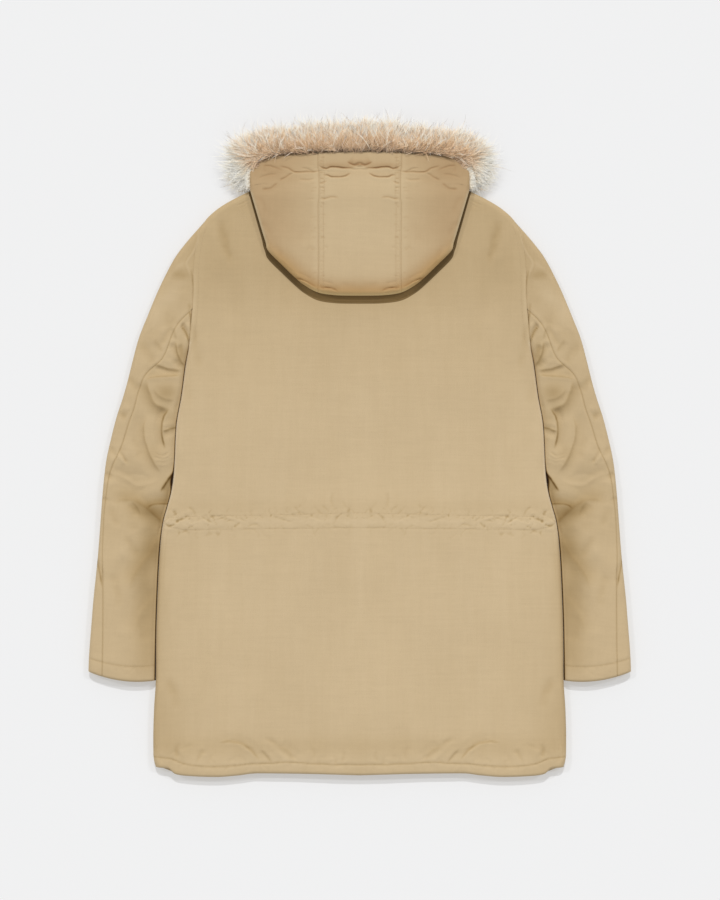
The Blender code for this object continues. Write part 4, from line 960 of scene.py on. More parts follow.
def sleeve_shade(a, y, level):
    """Painted shade that goes with the big folds: under them, along the inner side and towards the sleeve head, with
    painted highlights on two ridges, the slot beside the body painted dark, and a faint uneven tone.
    """
    d = a - inner_edge(level)
    low = smooth(130.0, 176.0, level)
    s = 1 - 0.20 * np.exp(-((d - 9.0) / 21.0) ** 2) * (1 - smooth(330.0, 385.0, level)) * low
    s = s * spot(a, y, 259.0, 611.0, 6.5, 20.0, 0.22) * spot(a, y, 281.0, 558.0, 15.0, 13.0, 0.25)
    s = s * spot(a, y, 272.0, 517.0, 8.0, 15.0, 0.14) * spot(a, y, 270.0, 487.0, 9.0, 12.0, 0.07)
    s = s * spot(a, y, 300.0, 470.0, 13.0, 13.0, 0.10) * spot(a, y, 277.0, 411.0, 9.0, 16.0, 0.30)
    s = s * spot(a, y, 290.0, 385.0, 15.0, 8.0, 0.24) * spot(a, y, 309.0, 384.0, 14.0, 10.0, 0.30)
    s = s * spot(a, y, 327.0, 392.0, 11.0, 8.0, 0.20) * spot(a, y, 297.0, 364.0, 17.0, 12.0, 0.14)
    s = s * spot(a, y, 300.0, 330.0, 17.0, 22.0, 0.24) * spot(a, y, 320.0, 301.0, 14.0, 22.0, 0.13) * spot(a, y, 288.0, 330.0, 14.0, 26.0, 0.06) * spot(a, y, 287.0, 535.0, 9.0, 7.0, 0.08)
    s = s * spot(a, y, 286.0, 399.5, 12.0, 7.0, 0.20) * spot(a, y, 292.0, 373.0, 13.0, 7.0, 0.16)
    s = s * spot(a, y, 280.0, 420.0, 7.0, 13.0, 0.08) * spot(a, y, 339.0, 401.0, 14.0, 4.0, 0.05)
    s = s * spot(a, y, 304.0, 240.0, 9.0, 40.0, 0.075) * spot(a, y, 306.0, 265.0, 22.0, 32.0, 0.07) * spot(a, y, 340.0, 400.0, 24.0, 34.0, 0.035)
    s = s * spot(a, y, 265.5, 729.5, 7.5, 6.0, 0.14) * spot(a, y, 255.0, 728.0, 7.0, 6.0, 0.16) * spot(a, y, 256.0, 694.0, 11.0, 16.0, 0.05)
    s = s * spot(a, y, 296.0, 640.0, 14.0, 12.0, 0.05)
    # painted highlights along two ridges of the sleeve head
    s = s * (1 + 0.085 * np.exp(-(((a - 273.0) + 0.9 * (y - 702.0)) * 0.72 / 12.0) ** 2)
             * smooth(243.0, 254.0, a) * (1 - smooth(292.0, 312.0, a)))
    bright, _ = line_field(a, y, ((253.5, 746.5), (262.0, 742.5), (271.0, 733.0), (280.0, 722.0)))
    s = s * (1 + 0.075 * np.exp(-(bright / 3.2) ** 2) * smooth(251.0, 256.0, a) * (1 - smooth(272.0, 284.0, a)))
    s = s * (1 - 0.105 * smooth(672.0, 745.0, level)) * (1 - 0.03 * smooth(330.0, 360.0, level)) * 0.975
    # painted shade for the deep slot between sleeve and body, widest at the elbow
    w = 1.0 + 0.35 * smooth(470.0, 445.0, level) + 0.75 * smooth(370.0, 300.0, level)
    w = w + 3.8 * np.exp(-((level - 430.5) / 12.5) ** 2)
    s = s * (1 - (0.84 + 0.15 * np.exp(-((level - 430.5) / 13.0) ** 2) + 0.09 * smooth(370.0, 340.0, level)) * (1 - smooth(0.55 * w, w, d)) * (1 - smooth(590.0, 640.0, level)))
    return s * (1 + 0.012 * noise(a, y * 0.3, 30.0, 79))


def top_sleeve(mirror, name, mat):
    lv = levels((140, 172, 1.9), (172, 360, 3.0), (360, 480, 2.0), (480, 790, 2.8), (790, SLEEVE_TOP, 1.6))
    edge, k = sleeve_outer(lv), stretch(sleeve_outer, lv)
    gap = np.where(lv < 679.0, LAP / 2, 0.0)
    gap_low = np.where(lv < 679.0, SEAM / 2, 0.0)
    up, low = 34, 26
    upper = across(edge, 1, k, edge - seam_place(lv) - gap, up, 8)
    inner = inner_edge(lv) + front_seam_in(np.minimum(lv, 679.3)) + gap_low
    lower = across(edge, 1, k, edge - inner, low, 6)
    parts_o, parts_i, shades = [], [], []
    for a, is_up in ((upper[:, ::-1], True), (lower[:, 1:], False)):
        level = lv[:, None] + 0 * a
        xo, zo, xi, zi, sine = layer("sleeve", a, level, is_up)
        y = sleeve_y(level, a)
        h, tone = sleeve_detail(a, y, level, is_up, "top")
        calm = np.clip((sine - 0.3) / 0.5, 0, 1)
        if is_up:
            zo = zo + h * calm - lip(level - CUFF, 4.5, 3.0) * sine
            near = np.where(level > 690, armhole_seam((a - inner_edge(level)) / stretch(inner_edge, level)) * 0.5
                            * smooth(690, 700, level) * (1 - 0.98 * smooth(706.0, 730.0, level)), 0)
            zo = zo + near
        else:
            zo = zo + 0.15 + np.abs(np.minimum(h, 0)) * calm * 0.9 + lip(level - CUFF, 4.0, 2.4) * sine
        if is_up:
            sink = tuck(a, level) * calm
            zo, zi = zo - sink, np.maximum(zi - sink, np.minimum(zi, MID + 0.4))
        shades.append(sleeve_shade(a, y, level) * tone if is_up else np.ones_like(a))
        xi = np.where(level > 770.0, np.maximum(xi, inner_edge(level) + 0.1), xi)
        parts_o.append(np.stack([xo, y, zo], -1))
        parts_i.append(np.stack([xi, y, zi], -1))
    out, ins = np.concatenate(parts_o, 1), np.concatenate(parts_i, 1)
    r, c = out.shape[:2]
    ids = np.arange(r * c).reshape(r, c)
    cols = sorted(set(spread_subset(c, 5) + [26, 30, 34, 37, 40]))
    return shell(name, out.reshape(-1, 3), ins.reshape(-1, 3), [(ids, spread_subset(r, 5), cols)], mat, mirror,
                 np.concatenate(shades, 1))


def under_sleeve(mirror, name, mat):
    lv = levels((140, 172, 1.9), (172, 350, 3.0), (350, 450, 1.4), (450, 604, 1.6), (604, ARMPIT, 1.8), (ARMPIT, 676, 2.2), (676, 678.6, 0.9))
    first_fold = int(np.argmin(np.abs(lv - ARMPIT)))
    edge, k = inner_edge(lv), stretch(inner_edge, lv)
    up, low = 66, 18
    upper = across(edge, -1, k, seam_place(lv) - LAP / 2 - edge, up, 9)
    lower = across(edge, -1, k, front_seam_in(lv) - SEAM / 2, low, 7)
    skins, shades = [], []
    for a, is_up in ((upper[:, ::-1], True), (lower, False)):
        level = lv[:, None] + 0 * a
        xo, zo, xi, zi, sine = layer("sleeve", a, level, is_up)
        y = sleeve_y(level, a)
        h, tone = sleeve_detail(a, y, level, is_up, "under")
        calm = np.clip((sine - 0.3) / 0.5, 0, 1)
        if is_up:
            zo = zo + h * calm - lip(level - CUFF, 4.5, 3.0) * sine
            d = (a - inner_edge(level)) / stretch(inner_edge, level)
            zo = zo + np.where(level > ARMPIT - 12, groove(d, 1.3, 1.4) * smooth(ARMPIT - 12, ARMPIT + 6, level), 0)
        else:
            zo = zo + 0.15 + np.abs(np.minimum(h, 0)) * calm * 0.9 + lip(level - CUFF, 4.0, 2.4) * sine
        if is_up:
            sink = tuck(a, level) * calm
            zo, zi = zo - sink, np.maximum(zi - sink, np.minimum(zi, MID + 0.4))
        shades.append(sleeve_shade(a, y, level) * tone if is_up else np.ones_like(a))
        skins.append((np.stack([xo, y, zo], -1), np.stack([xi, y, zi], -1)))
    r = len(lv)
    out = np.concatenate([skins[0][0].reshape(-1, 3), skins[1][0].reshape(-1, 3)])
    ins = np.concatenate([skins[0][1].reshape(-1, 3), skins[1][1].reshape(-1, 3)])
    u_ids = np.arange(r * (up + 1)).reshape(r, up + 1)
    l_ids = (r * (up + 1) + np.arange(r * (low + 1))).reshape(r, low + 1)
    l_ids[:first_fold + 1, 0] = u_ids[:first_fold + 1, up]
    rows = sorted(set(spread_subset(r, 5) + [first_fold]))
    return shell(name, out, ins, [(u_ids, rows, sorted(set(spread_subset(up + 1, 5) + [57, 60, 63, 66]))),
                                  (l_ids, rows, sorted(set([0, 3, 6] + spread_subset(low + 1, 4))))], mat, mirror,
                 np.concatenate([v.reshape(-1) for v in shades]))


# ---------------------------------------------------------------- hood
def along(points):
    p = np.array(points, float)
    s = np.concatenate([[0.0], np.cumsum(np.hypot(*np.diff(p, axis=0).T))])
    s /= s[-1]
    return lambda t: np.stack([np.interp(t, s, p[:, 0]), np.interp(t, s, p[:, 1])], -1)


SPLIT = 3
SPLIT_V = 0.3
OUTLINE = rounded((*HOOD_SIDE, *HOOD_FOLD[1:]), 12)          # side and fold as one smooth line
cut_above = SPLIT * 12
cut_fold = (len(HOOD_SIDE) - 1) * 12
side_above = along(OUTLINE[:cut_above + 1])
side_below = along(OUTLINE[cut_above:cut_fold + 1])
FOLD_LINE = OUTLINE[cut_fold:]


def hood_left(v):
    v = np.asarray(v, float)
    first = side_above(np.clip(v / SPLIT_V, 0, 1))
    second = side_below(np.clip((v - SPLIT_V) / (1 - SPLIT_V), 0, 1))
    return np.where((v < SPLIT_V)[..., None], first, second)


def split_map(t, edge, seam):
    t = np.asarray(t, float)
    return np.where(t < 0.6, edge + (seam - edge) * t / 0.6, seam * (1 - (t - 0.6) / 0.4))


def fold_level(a):
    return np.interp(a, FOLD_LINE[::-1, 0], FOLD_LINE[::-1, 1])


def hood_top(u):
    a = split_map(u, BRIM[-1][0], HOOD_SEAM_TOP)
    return np.stack([a, brim_level(a)], -1)


def hood_bottom(u):
    a = split_map(u, HOOD_FOLD[0][0], HOOD_SEAM_FOLD)
    return np.stack([a, fold_level(a)], -1)


def hood_right(v):
    v = np.asarray(v, float)
    return np.stack([0 * v, BRIM[0][1] + (HOOD_FOLD[-1][1] - BRIM[0][1]) * v], -1)


SHOULDER = [r for r in BODY_EDGE if r[0] > 840]


def shoulder_y(a):
    return np.interp(a, [r[1] for r in reversed(SHOULDER)], [r[0] for r in reversed(SHOULDER)])


def nape_top(u):
    a = split_map(u, HOOD_SIDE[SPLIT][0], HOOD_SEAM_TOP)
    y = np.where(a > NECK_HALF, shoulder_y(a), NECK - NECK_DROP_BACK * (1 - (a / NECK_HALF) ** 2))
    return np.stack([a, y], -1)


def nape_right(v):
    v = np.asarray(v, float)
    top = NECK - NECK_DROP_BACK
    return np.stack([0 * v, top + (HOOD_FOLD[-1][1] - top) * v], -1)


def coons(top, bottom, left, right, u, v):
    u1, v1 = u[..., None], v[..., None]
    zero, one = np.zeros(()), np.ones(())
    corner = ((1 - u1) * (1 - v1) * top(zero) + u1 * (1 - v1) * top(one)
              + (1 - u1) * v1 * bottom(zero) + u1 * v1 * bottom(one))
    return (1 - v1) * top(u) + v1 * bottom(u) + (1 - u1) * left(v) + u1 * right(v) - corner


def nearest(points, p):
    x, y = p[..., 0], p[..., 1]
    best = np.full(x.shape, 1e9)
    nx, ny = np.zeros(x.shape), np.zeros(x.shape)
    for q, r in zip(points, points[1:]):
        dx, dy = r - q
        t = np.clip(((x - q[0]) * dx + (y - q[1]) * dy) / (dx * dx + dy * dy), 0, 1)
        ex, ey = x - q[0] - t * dx, y - q[1] - t * dy
        d = np.hypot(ex, ey)
        near = d < best
        length = math.hypot(dx, dy)
        best = np.where(near, d, best)
        nx = np.where(near, -dy / length, nx)
        ny = np.where(near, dx / length, ny)
    flip = np.where(nx * 100.0 - ny * 60.0 < 0, -1.0, 1.0)
    return best, nx * flip, ny * flip


def hood_mid(y):
    on_back = HOOD_LOW + HOOD_HEIGHT / 2
    return on_back + (8.2 - on_back) * smooth(846.0, 866.0, y)


def hood_upper(a, y):
    u = np.minimum(1.0, a / 160.0)
    return (HOOD_LOW + HOOD_HEIGHT + (CROWN + HOOD_CROWN) * (1 - u * u)
            - 9.5 * smooth(835.0, 912.0, y))


def hood_point(p, upper):
    d, nx, ny = nearest(OUTLINE, p)
    a, y = p[..., 0], p[..., 1]
    mid = hood_mid(y)
    if upper:
        flat = hood_upper(a, y)
        inside = flat - HOOD_WALL
    else:
        flat = top_height("body", a, np.minimum(y, 860.0)) + HOOD_CLEAR
        inside = flat + HOOD_WALL
    r = HOOD_HEIGHT / 2
    q = np.clip(1 - d / r, 0, 1)
    s = np.sqrt(1 - q * q)
    out = np.stack([a, y, mid + (flat - mid) * s], -1)
    ins = np.stack([np.maximum(a - nx * HOOD_WALL * q, 0.0), y - ny * HOOD_WALL * q, mid + (inside - mid) * s], -1)
    return out, ins, s


CASING = rounded(((0.0, 883.8), (31.5, 882.3), (60.5, 883.0), (92.0, 882.0), (118.0, 881.5), (140.0, 878.0), (156.0, 869.0)), 6)
HOOD_SEAM = rounded(((60.8, 907.0), (60.4, 884.0), (59.0, 874.0), (59.0, 840.0), (60.2, 828.0), (59.9, 790.0),
                     (59.7, 740.0), (60.5, 701.8)), 5)


def HOOD_SEAM_AT(y):
    return np.interp(y, HOOD_SEAM[::-1, 1], HOOD_SEAM[::-1, 0])




HOOD_STROKES = []
for edge_seed, lo_level, hi_level in ((41, 708.0, 760.0), (42, 768.0, 836.0), (43, 842.0, 902.0)):
    rng_h = np.random.RandomState(edge_seed)
    at = lo_level
    while at < hi_level:
        at += 3.4 + 6.0 * rng_h.rand()
        long = 3.5 + 6.0 * rng_h.rand()
        tilt = rng_h.normal(0, 0.8)
        HOOD_STROKES.append((((57.6, at), (57.6 - long * 0.5, at + tilt), (57.6 - long, at + tilt * 1.6)),
                             1.0 + 0.4 * rng_h.rand(), 0.16 + 0.30 * rng_h.rand(), 0.02, 1 if rng_h.rand() < 0.5 else -1))
        if rng_h.rand() < 0.4:
            HOOD_STROKES.append((((61.5, at), (61.5 + long * 0.6, at + tilt), (61.5 + long * 1.3, at + tilt)),
                                 1.3, 0.12 + 0.15 * rng_h.rand(), 0.02, 1))


def hood_detail(a, y):
    """Small shapes of the hood's upper layer: seams, the brim's casing and its gathers, folds; and a tone of painted
    shade in the creases and under the folds, with darker seam lines.
    """
    h = creases(a, y, HOOD_CREASES, 120, 0.9, 0.80, 0.30, 2.0)
    fine, ledge_shade = ledges(a, y, HOOD_LEDGES, 124, 0.30, 0.90)
    near = np.abs(a - 58) < 24
    small = np.zeros_like(h)
    small[near] = creases(a[near], y[near], HOOD_STROKES, 126, 1.0, 0.85, 0.2)
    tone = crease_painted_shade(h, 0.15) * ledge_shade * (1 - 0.42 * np.clip(-small, 0, 0.6))
    h = h + 0.6 * small
    h = h + fine
    d, _ = line_field(a, y, HOOD_SEAM)
    tone = tone * (1 - 0.10 * np.exp(-(d / 1.0) ** 2))
    h = h + groove(d, 0.9, 0.5)
    inner = a - (HOOD_SEAM_AT(y) - 7.6)
    tone = tone * (1 - 0.05 * np.exp(-(inner / 0.9) ** 2))
    h = h + groove(inner, 0.9, 0.28) + 0.35 * np.exp(-((inner - 4.0) / 2.4) ** 2)
    casing, brim = on_line(CASING, a), brim_level(np.minimum(a, 157.6))
    c = y - casing
    strong = 1 - smooth(62.0, 96.0, a)
    span = np.clip(c / np.maximum(brim - casing, 1.0), 0, 1)
    puff = np.clip(4 * span * (1 - span), 0, 1)
    h = h + puff * (0.5 + 0.5 * strong)
    # the panel swells a little below the casing and between the seams
    h = h + 0.9 * np.exp(-((y - 790.0) / 52.0) ** 2) * np.exp(-(a / 40.0) ** 2)
    h = h - 0.8 * np.exp(-((a - 61.0) / 9.0) ** 2) * smooth(700.0, 730.0, y)
    return h + broad(a, y, 140, 58.0, 0.6), tone


def hood_shade(a, y, side):
    """Painted shade where the side panels fall away from the light, towards the brim and under the folds, and painted
    highlights along the rolled edges.
    """
    out = 1 - 0.19 * smooth(60.0, 140.0, a) * smooth(740.0, 800.0, y)
    out = out * (1 - 0.06 * smooth(62.0, 72.0, a))
    out = out * (1 - 0.05 * (1 - smooth(706.0, 742.0, y))) * (1 - 0.035)
    out = out * (1 - 0.10 * smooth(862.0, 900.0, y)) * (1 + 0.035 * np.exp(-((y - 790.0) / 60.0) ** 2 - (a / 60.0) ** 2))
    out = out * spot(a, y, 126.0, 876.0, 20.0, 10.0, 0.10) * spot(a, y, 98.0, 866.0, 22.0, 5.0, 0.05)
    out = out * spot(a, y, 2.5, 890.0, 13.0, 3.6, 0.12) * spot(a, y, 40.0, 887.0, 18.0, 2.8, 0.08)
    out = out * spot(a, y, 26.0, 874.0, 22.0, 2.6, 0.05) * spot(a, y, 56.0, 876.0, 4.5, 14.0, 0.06)
    fold, _ = line_field(a, y, OUTLINE)
    fold = np.abs(fold)
    out = out * (1 - 0.02 * (1 - smooth(735.0, 775.0, y)))
    out = out * (1 - (0.16 * (1 - smooth(8.0, 32.0, fold)) + 0.04 * (1 - smooth(3.0, 12.0, fold))) * (1 - smooth(745.0, 800.0, y)))
    # painted highlight along the rolled side edges; at the bottom fold painted shade with a painted highlight on the
    # rim
    low = 1 - smooth(745.0, 785.0, y)
    side_edge = 1 + (0.62 - 0.24 * low) * np.exp(-(fold / (2.5 + 2.2 * low)) ** 2) * (1 - smooth(842.0, 856.0, y))
    turned = 1 - 0.13 * np.exp(-(fold / 13.0) ** 2) + 1.25 * np.exp(-(fold / 3.5) ** 1.6)
    bottom = (1 - smooth(58.0, 92.0, a)) * (1 - smooth(722.0, 742.0, y))
    out = out * (side_edge + (turned - side_edge) * bottom)
    return out * (1 + 0.012 * noise(a, y * 0.3, 26.0, 141))


def make_hood(name, part, mat, mirror=1):
    v_up = list(np.linspace(0, 0.05, 8)[:-1]) + list(np.linspace(0.05, 0.215, 52)[:-1]) \
        + list(np.linspace(0.215, SPLIT_V, 14)[:-1])
    v_low = list(np.linspace(SPLIT_V, 0.38, 12)[:-1]) + list(np.linspace(0.38, 0.82, 40)[:-1]) \
        + list(np.linspace(0.82, 0.955, 24)[:-1]) \
        + [0.955, 0.963, 0.970, 0.976, 0.981, 0.986, 0.990, 0.9935, 0.9965, 0.9988, 1.0]
    v = np.array(v_up + v_low)
    first = len(v_up)
    if part == "side":
        u = np.array([0.0, 0.0009, 0.0030, 0.0065, 0.0115, 0.018, 0.026, 0.036] + list(np.linspace(0.047, 0.6, 64)))
    else:
        u = np.concatenate([np.linspace(0.6, 0.69, 13)[:-1], np.linspace(0.69, 1.0, 37)])
    uu, vv = np.meshgrid(u, v)
    p = coons(hood_top, hood_bottom, hood_left, hood_right, uu, vv)
    nv = (v[first:] - SPLIT_V) / (1 - SPLIT_V)
    un, vn = np.meshgrid(u, nv)
    q = coons(nape_top, hood_bottom, side_below, nape_right, un, vn)
    # the seam between the panels lies where it is sewn
    for grid in (p, q):
        x, y = grid[..., 0], grid[..., 1]
        if part == "side":
            here, rim = x[:, -1:], x[:, :1]
            move = here - HOOD_SEAM_AT(y[:, -1:])
            x -= move * (rim - x) / (rim - here)
        else:
            here = x[:, :1]
            x -= (here - HOOD_SEAM_AT(y[:, :1])) * x / here
    up_o, up_i, s = hood_point(p, True)
    calm = np.clip((s - 0.45) / 0.45, 0, 1)
    h_up, tone_h = hood_detail(p[..., 0], p[..., 1])
    up_o[..., 2] += h_up * calm
    # painted shade and highlight of the hood's upper layer
    tone_u = hood_shade(p[..., 0], p[..., 1], part == "side") * tone_h
    fold, _ = line_field(p[..., 0], p[..., 1], OUTLINE)
    # warmer painted shade along the bottom fold
    fold_shade_u = np.exp(-(np.abs(fold) / 13.0) ** 2) * (1 - smooth(745.0, 790.0, p[..., 1]))
    up_o[..., 2] -= lip(brim_level(np.minimum(p[..., 0], 157.6)) - p[..., 1], 4.0, 2.2)
    lo_o, lo_i, s2 = hood_point(q, False)
    if part == "side":
        for arr in (up_o, up_i, lo_o, lo_i):
            arr[:, -1, 0] += LAP
    else:
        up_o, up_i, lo_o, lo_i = (np.concatenate([arr * np.array([-1, 1, 1]), arr[:, ::-1][:, 1:]], 1)
                                  for arr in (up_o, up_i, lo_o, lo_i))
        tone_u, fold_shade_u = (np.concatenate([t, t[:, ::-1][:, 1:]], 1) for t in (tone_u, fold_shade_u))
    r, c = up_o.shape[:2]
    rn = lo_o.shape[0]
    u_ids = np.arange(r * c).reshape(r, c)
    l_ids = (r * c + np.arange(rn * c)).reshape(rn, c)
    l_ids[-1] = u_ids[-1]
    if part == "side":
        l_ids[:, 0] = u_ids[first:, 0]
    cols = sorted(set(spread_subset(c, 5) + ([0, 3, 5] if part == "side" else [48])))
    rows = sorted(set(spread_subset(first, 6) + [first] + [first + i for i in spread_subset(rn, 6)]
                      + [r - 8, r - 5, r - 3]))
    rows_n = [i - first for i in rows if i >= first]
    out = np.concatenate([up_o.reshape(-1, 3), lo_o.reshape(-1, 3)])
    ins = np.concatenate([up_i.reshape(-1, 3), lo_i.reshape(-1, 3)])
    # painted shade of 0.85 on the hood's lower layer
    return shell(name, out, ins, [(u_ids, rows, cols), (l_ids[:, ::-1], rows_n, sorted(c - 1 - i for i in cols))],
                 mat, mirror, np.concatenate([tone_u.reshape(-1), np.full(rn * c, 0.85)]), None,
                 np.concatenate([fold_shade_u.reshape(-1), np.zeros(rn * c)]))


THROAT_HALF = 158.0


def front_top_row():
    edge = body_half(np.array([NECK]))
    places = across(edge, 1, stretch(body_half, np.array([NECK])), edge - (FLAP_HALF + 11.0), 30, 4)[0]
    places = np.concatenate([places, [FLAP_HALF + 1.0, 20.0, SEAM / 2]])
    return places, front_y(np.full(len(places), NECK), places)


def make_throat(mirror, name, mat):
    px, py = front_top_row()

    def bottom(u):
        a = THROAT_HALF + (SEAM / 2 - THROAT_HALF) * np.asarray(u, float)
        y = np.where(a > NECK_HALF, shoulder_y(a) + 1.6, np.interp(a, px[::-1], py[::-1]) + 2 * SEAM)
        return np.stack([a, y], -1)

    def top(u):
        a = BRIM[-1][0] + (SEAM / 2 - BRIM[-1][0]) * np.asarray(u, float)
        return np.stack([a, brim_level(a) - 0.5], -1)
    left = along([(BRIM[-1][0], BRIM[-1][1] - 0.5), (162.6, 875.1), (160.9, 858.0), (158.0, 854.3)])
    right_top, right_low = top(np.ones(())), bottom(np.ones(()))

    def right(v):
        return right_top + (right_low - right_top) * np.asarray(v, float)[..., None]
    v = np.linspace(0, 1, 33)
    u = np.concatenate([[0.0, 0.006, 0.015, 0.03, 0.05, 0.08], np.linspace(0.12, 1.0, 34)])
    uu, vv = np.meshgrid(u, v)
    p = coons(top, bottom, left, right, uu, vv)
    x, y = p[..., 0], p[..., 1]
    r = HOOD_WALL + 1.2
    q = np.clip(1 - np.maximum(0.0, left(vv)[..., 0] - x) / r, 0, 1)
    s = np.sqrt(1 - q * q)
    h = np.abs(creases(x, y - 60.0, HOOD_CREASES, 220)) * 0.8 + 0.4 * np.abs(broad(x, y, 230, 40.0, 0.8))
    h = h + 0.9 * np.exp(-(((y - bottom(uu)[..., 1]) - 3.0) / 1.6) ** 2) + 0.7 * np.exp(-((top(uu)[..., 1] - y - 20.0) / 1.6) ** 2)
    out = np.stack([x, y, 7.4 + (h - 7.4) * s], -1)
    ins = np.stack([np.maximum(x - HOOD_WALL * q, SEAM / 2), y, 7.4 + (HOOD_WALL + 0.4 - 7.4) * s], -1)
    rr, cc = x.shape
    ids = np.arange(rr * cc).reshape(rr, cc)
    return shell(name, out.reshape(-1, 3), ins.reshape(-1, 3),
                 [(ids, spread_subset(rr, 4), sorted(set([0, 2, 5] + spread_subset(cc, 5))))], mat, mirror)


# ---------------------------------------------------------------- stitches
def stitches(name, runs, targets, mat, pitch=3.4, long=2.7, thick=0.5):
    """Runs of thread stitches laid on the cloth. runs are (points, below) in x and level; each place
    is dropped on the targets from above, or from below."""
    verts, faces = [], []
    trees = []
    for t in targets:
        me = t.data
        co = np.zeros(len(me.vertices) * 3)
        me.vertices.foreach_get("co", co)
        trees.append(BVHTree.FromPolygons(co.reshape(-1, 3).tolist(), [tuple(p.vertices) for p in me.polygons]))

    def drop(x, y, below):
        start = Vector((x * MM, (y - Y_SHIFT) * MM, -0.05 if below else 0.08))
        best = None
        for tree in trees:
            hit = tree.ray_cast(start, Vector((0, 0, 1.0 if below else -1.0)), 0.2)
            if hit[0] is not None and (best is None or (hit[0].z < best[0].z if below else hit[0].z > best[0].z)):
                best = hit
        return best
    for points, below in runs:
        p = np.array(points, float)
        seg = np.hypot(*np.diff(p, axis=0).T)
        s = np.concatenate([[0.0], np.cumsum(seg)])
        n = int(s[-1] / pitch)
        for k in range(n):
            mid = (k + 0.5) * pitch
            ends = []
            for t in (mid - long / 2, mid + long / 2):
                x, y = np.interp(t, s, p[:, 0]), np.interp(t, s, p[:, 1])
                hit = drop(x, y, below)
                if hit is None:
                    break
                ends.append(hit)
            if len(ends) < 2:
                continue
            a, b = ends[0][0], ends[1][0]
            if (a - b).length > long * MM * 1.8:
                continue
            axis = (b - a).normalized()
            up = Vector((0, 0, -1.0 if below else 1.0))
            side = axis.cross(up).normalized()
            up = side.cross(axis).normalized()
            c = (a + b) / 2 + up * (thick * 0.22 * MM)
            i = len(verts)
            r = thick * MM / 2
            verts += [a, c + side * r, c + up * r, c - side * r, c - up * r, b]
            faces += [(i, i + 1, i + 2), (i, i + 2, i + 3), (i, i + 3, i + 4), (i, i + 4, i + 1),
                      (i + 5, i + 2, i + 1), (i + 5, i + 3, i + 2), (i + 5, i + 4, i + 3), (i + 5, i + 1, i + 4)]
    mesh = bpy.data.meshes.new(name)
    mesh.from_pydata([(v[0], v[1], max(v[2], 0.0)) for v in verts], [], faces)
    mesh.materials.append(mat)
    mesh.shade_smooth()
    obj = bpy.data.objects.new(name, mesh)
    bpy.context.scene.collection.objects.link(obj)
    return obj


# ---------------------------------------------------------------- fur
HAIR_ROWS = (
    # root, tip, fullness: as the hair stands out from the trim
    (160.6, 855.0, 173.0, 852.5, 0.36), (162.2, 860.0, 185.0, 857.0, 0.60), (163.4, 867.0, 195.0, 865.0, 0.80),
    (163.0, 875.0, 200.0, 876.0, 0.95), (161.0, 883.0, 201.0, 892.0, 1.00), (157.8, 891.0, 199.0, 910.0, 1.00),
    (149.0, 897.6, 187.0, 928.0, 1.00), (138.3, 902.0, 169.0, 940.0, 1.00), (121.0, 904.8, 146.0, 946.5, 1.00),
    (106.2, 906.5, 124.0, 949.0, 1.00), (84.0, 908.2, 98.0, 950.5, 1.00), (62.0, 909.4, 72.0, 953.5, 1.00),
    (31.0, 910.5, 37.0, 957.5, 1.00), (0.0, 910.9, 0.0, 958.5, 1.00),
)
FUR_S = np.array([0.0] + list(np.cumsum(np.hypot(np.diff([r[0] for r in HAIR_ROWS]), np.diff([r[1] for r in HAIR_ROWS])))))
FUR_T = np.array(HAIR_ROWS)


def fur_at(s):
    """Root, tip and fullness at distance s along the edge from the side's end to the middle."""
    return [np.interp(s, FUR_S, FUR_T[:, k]) for k in range(5)]


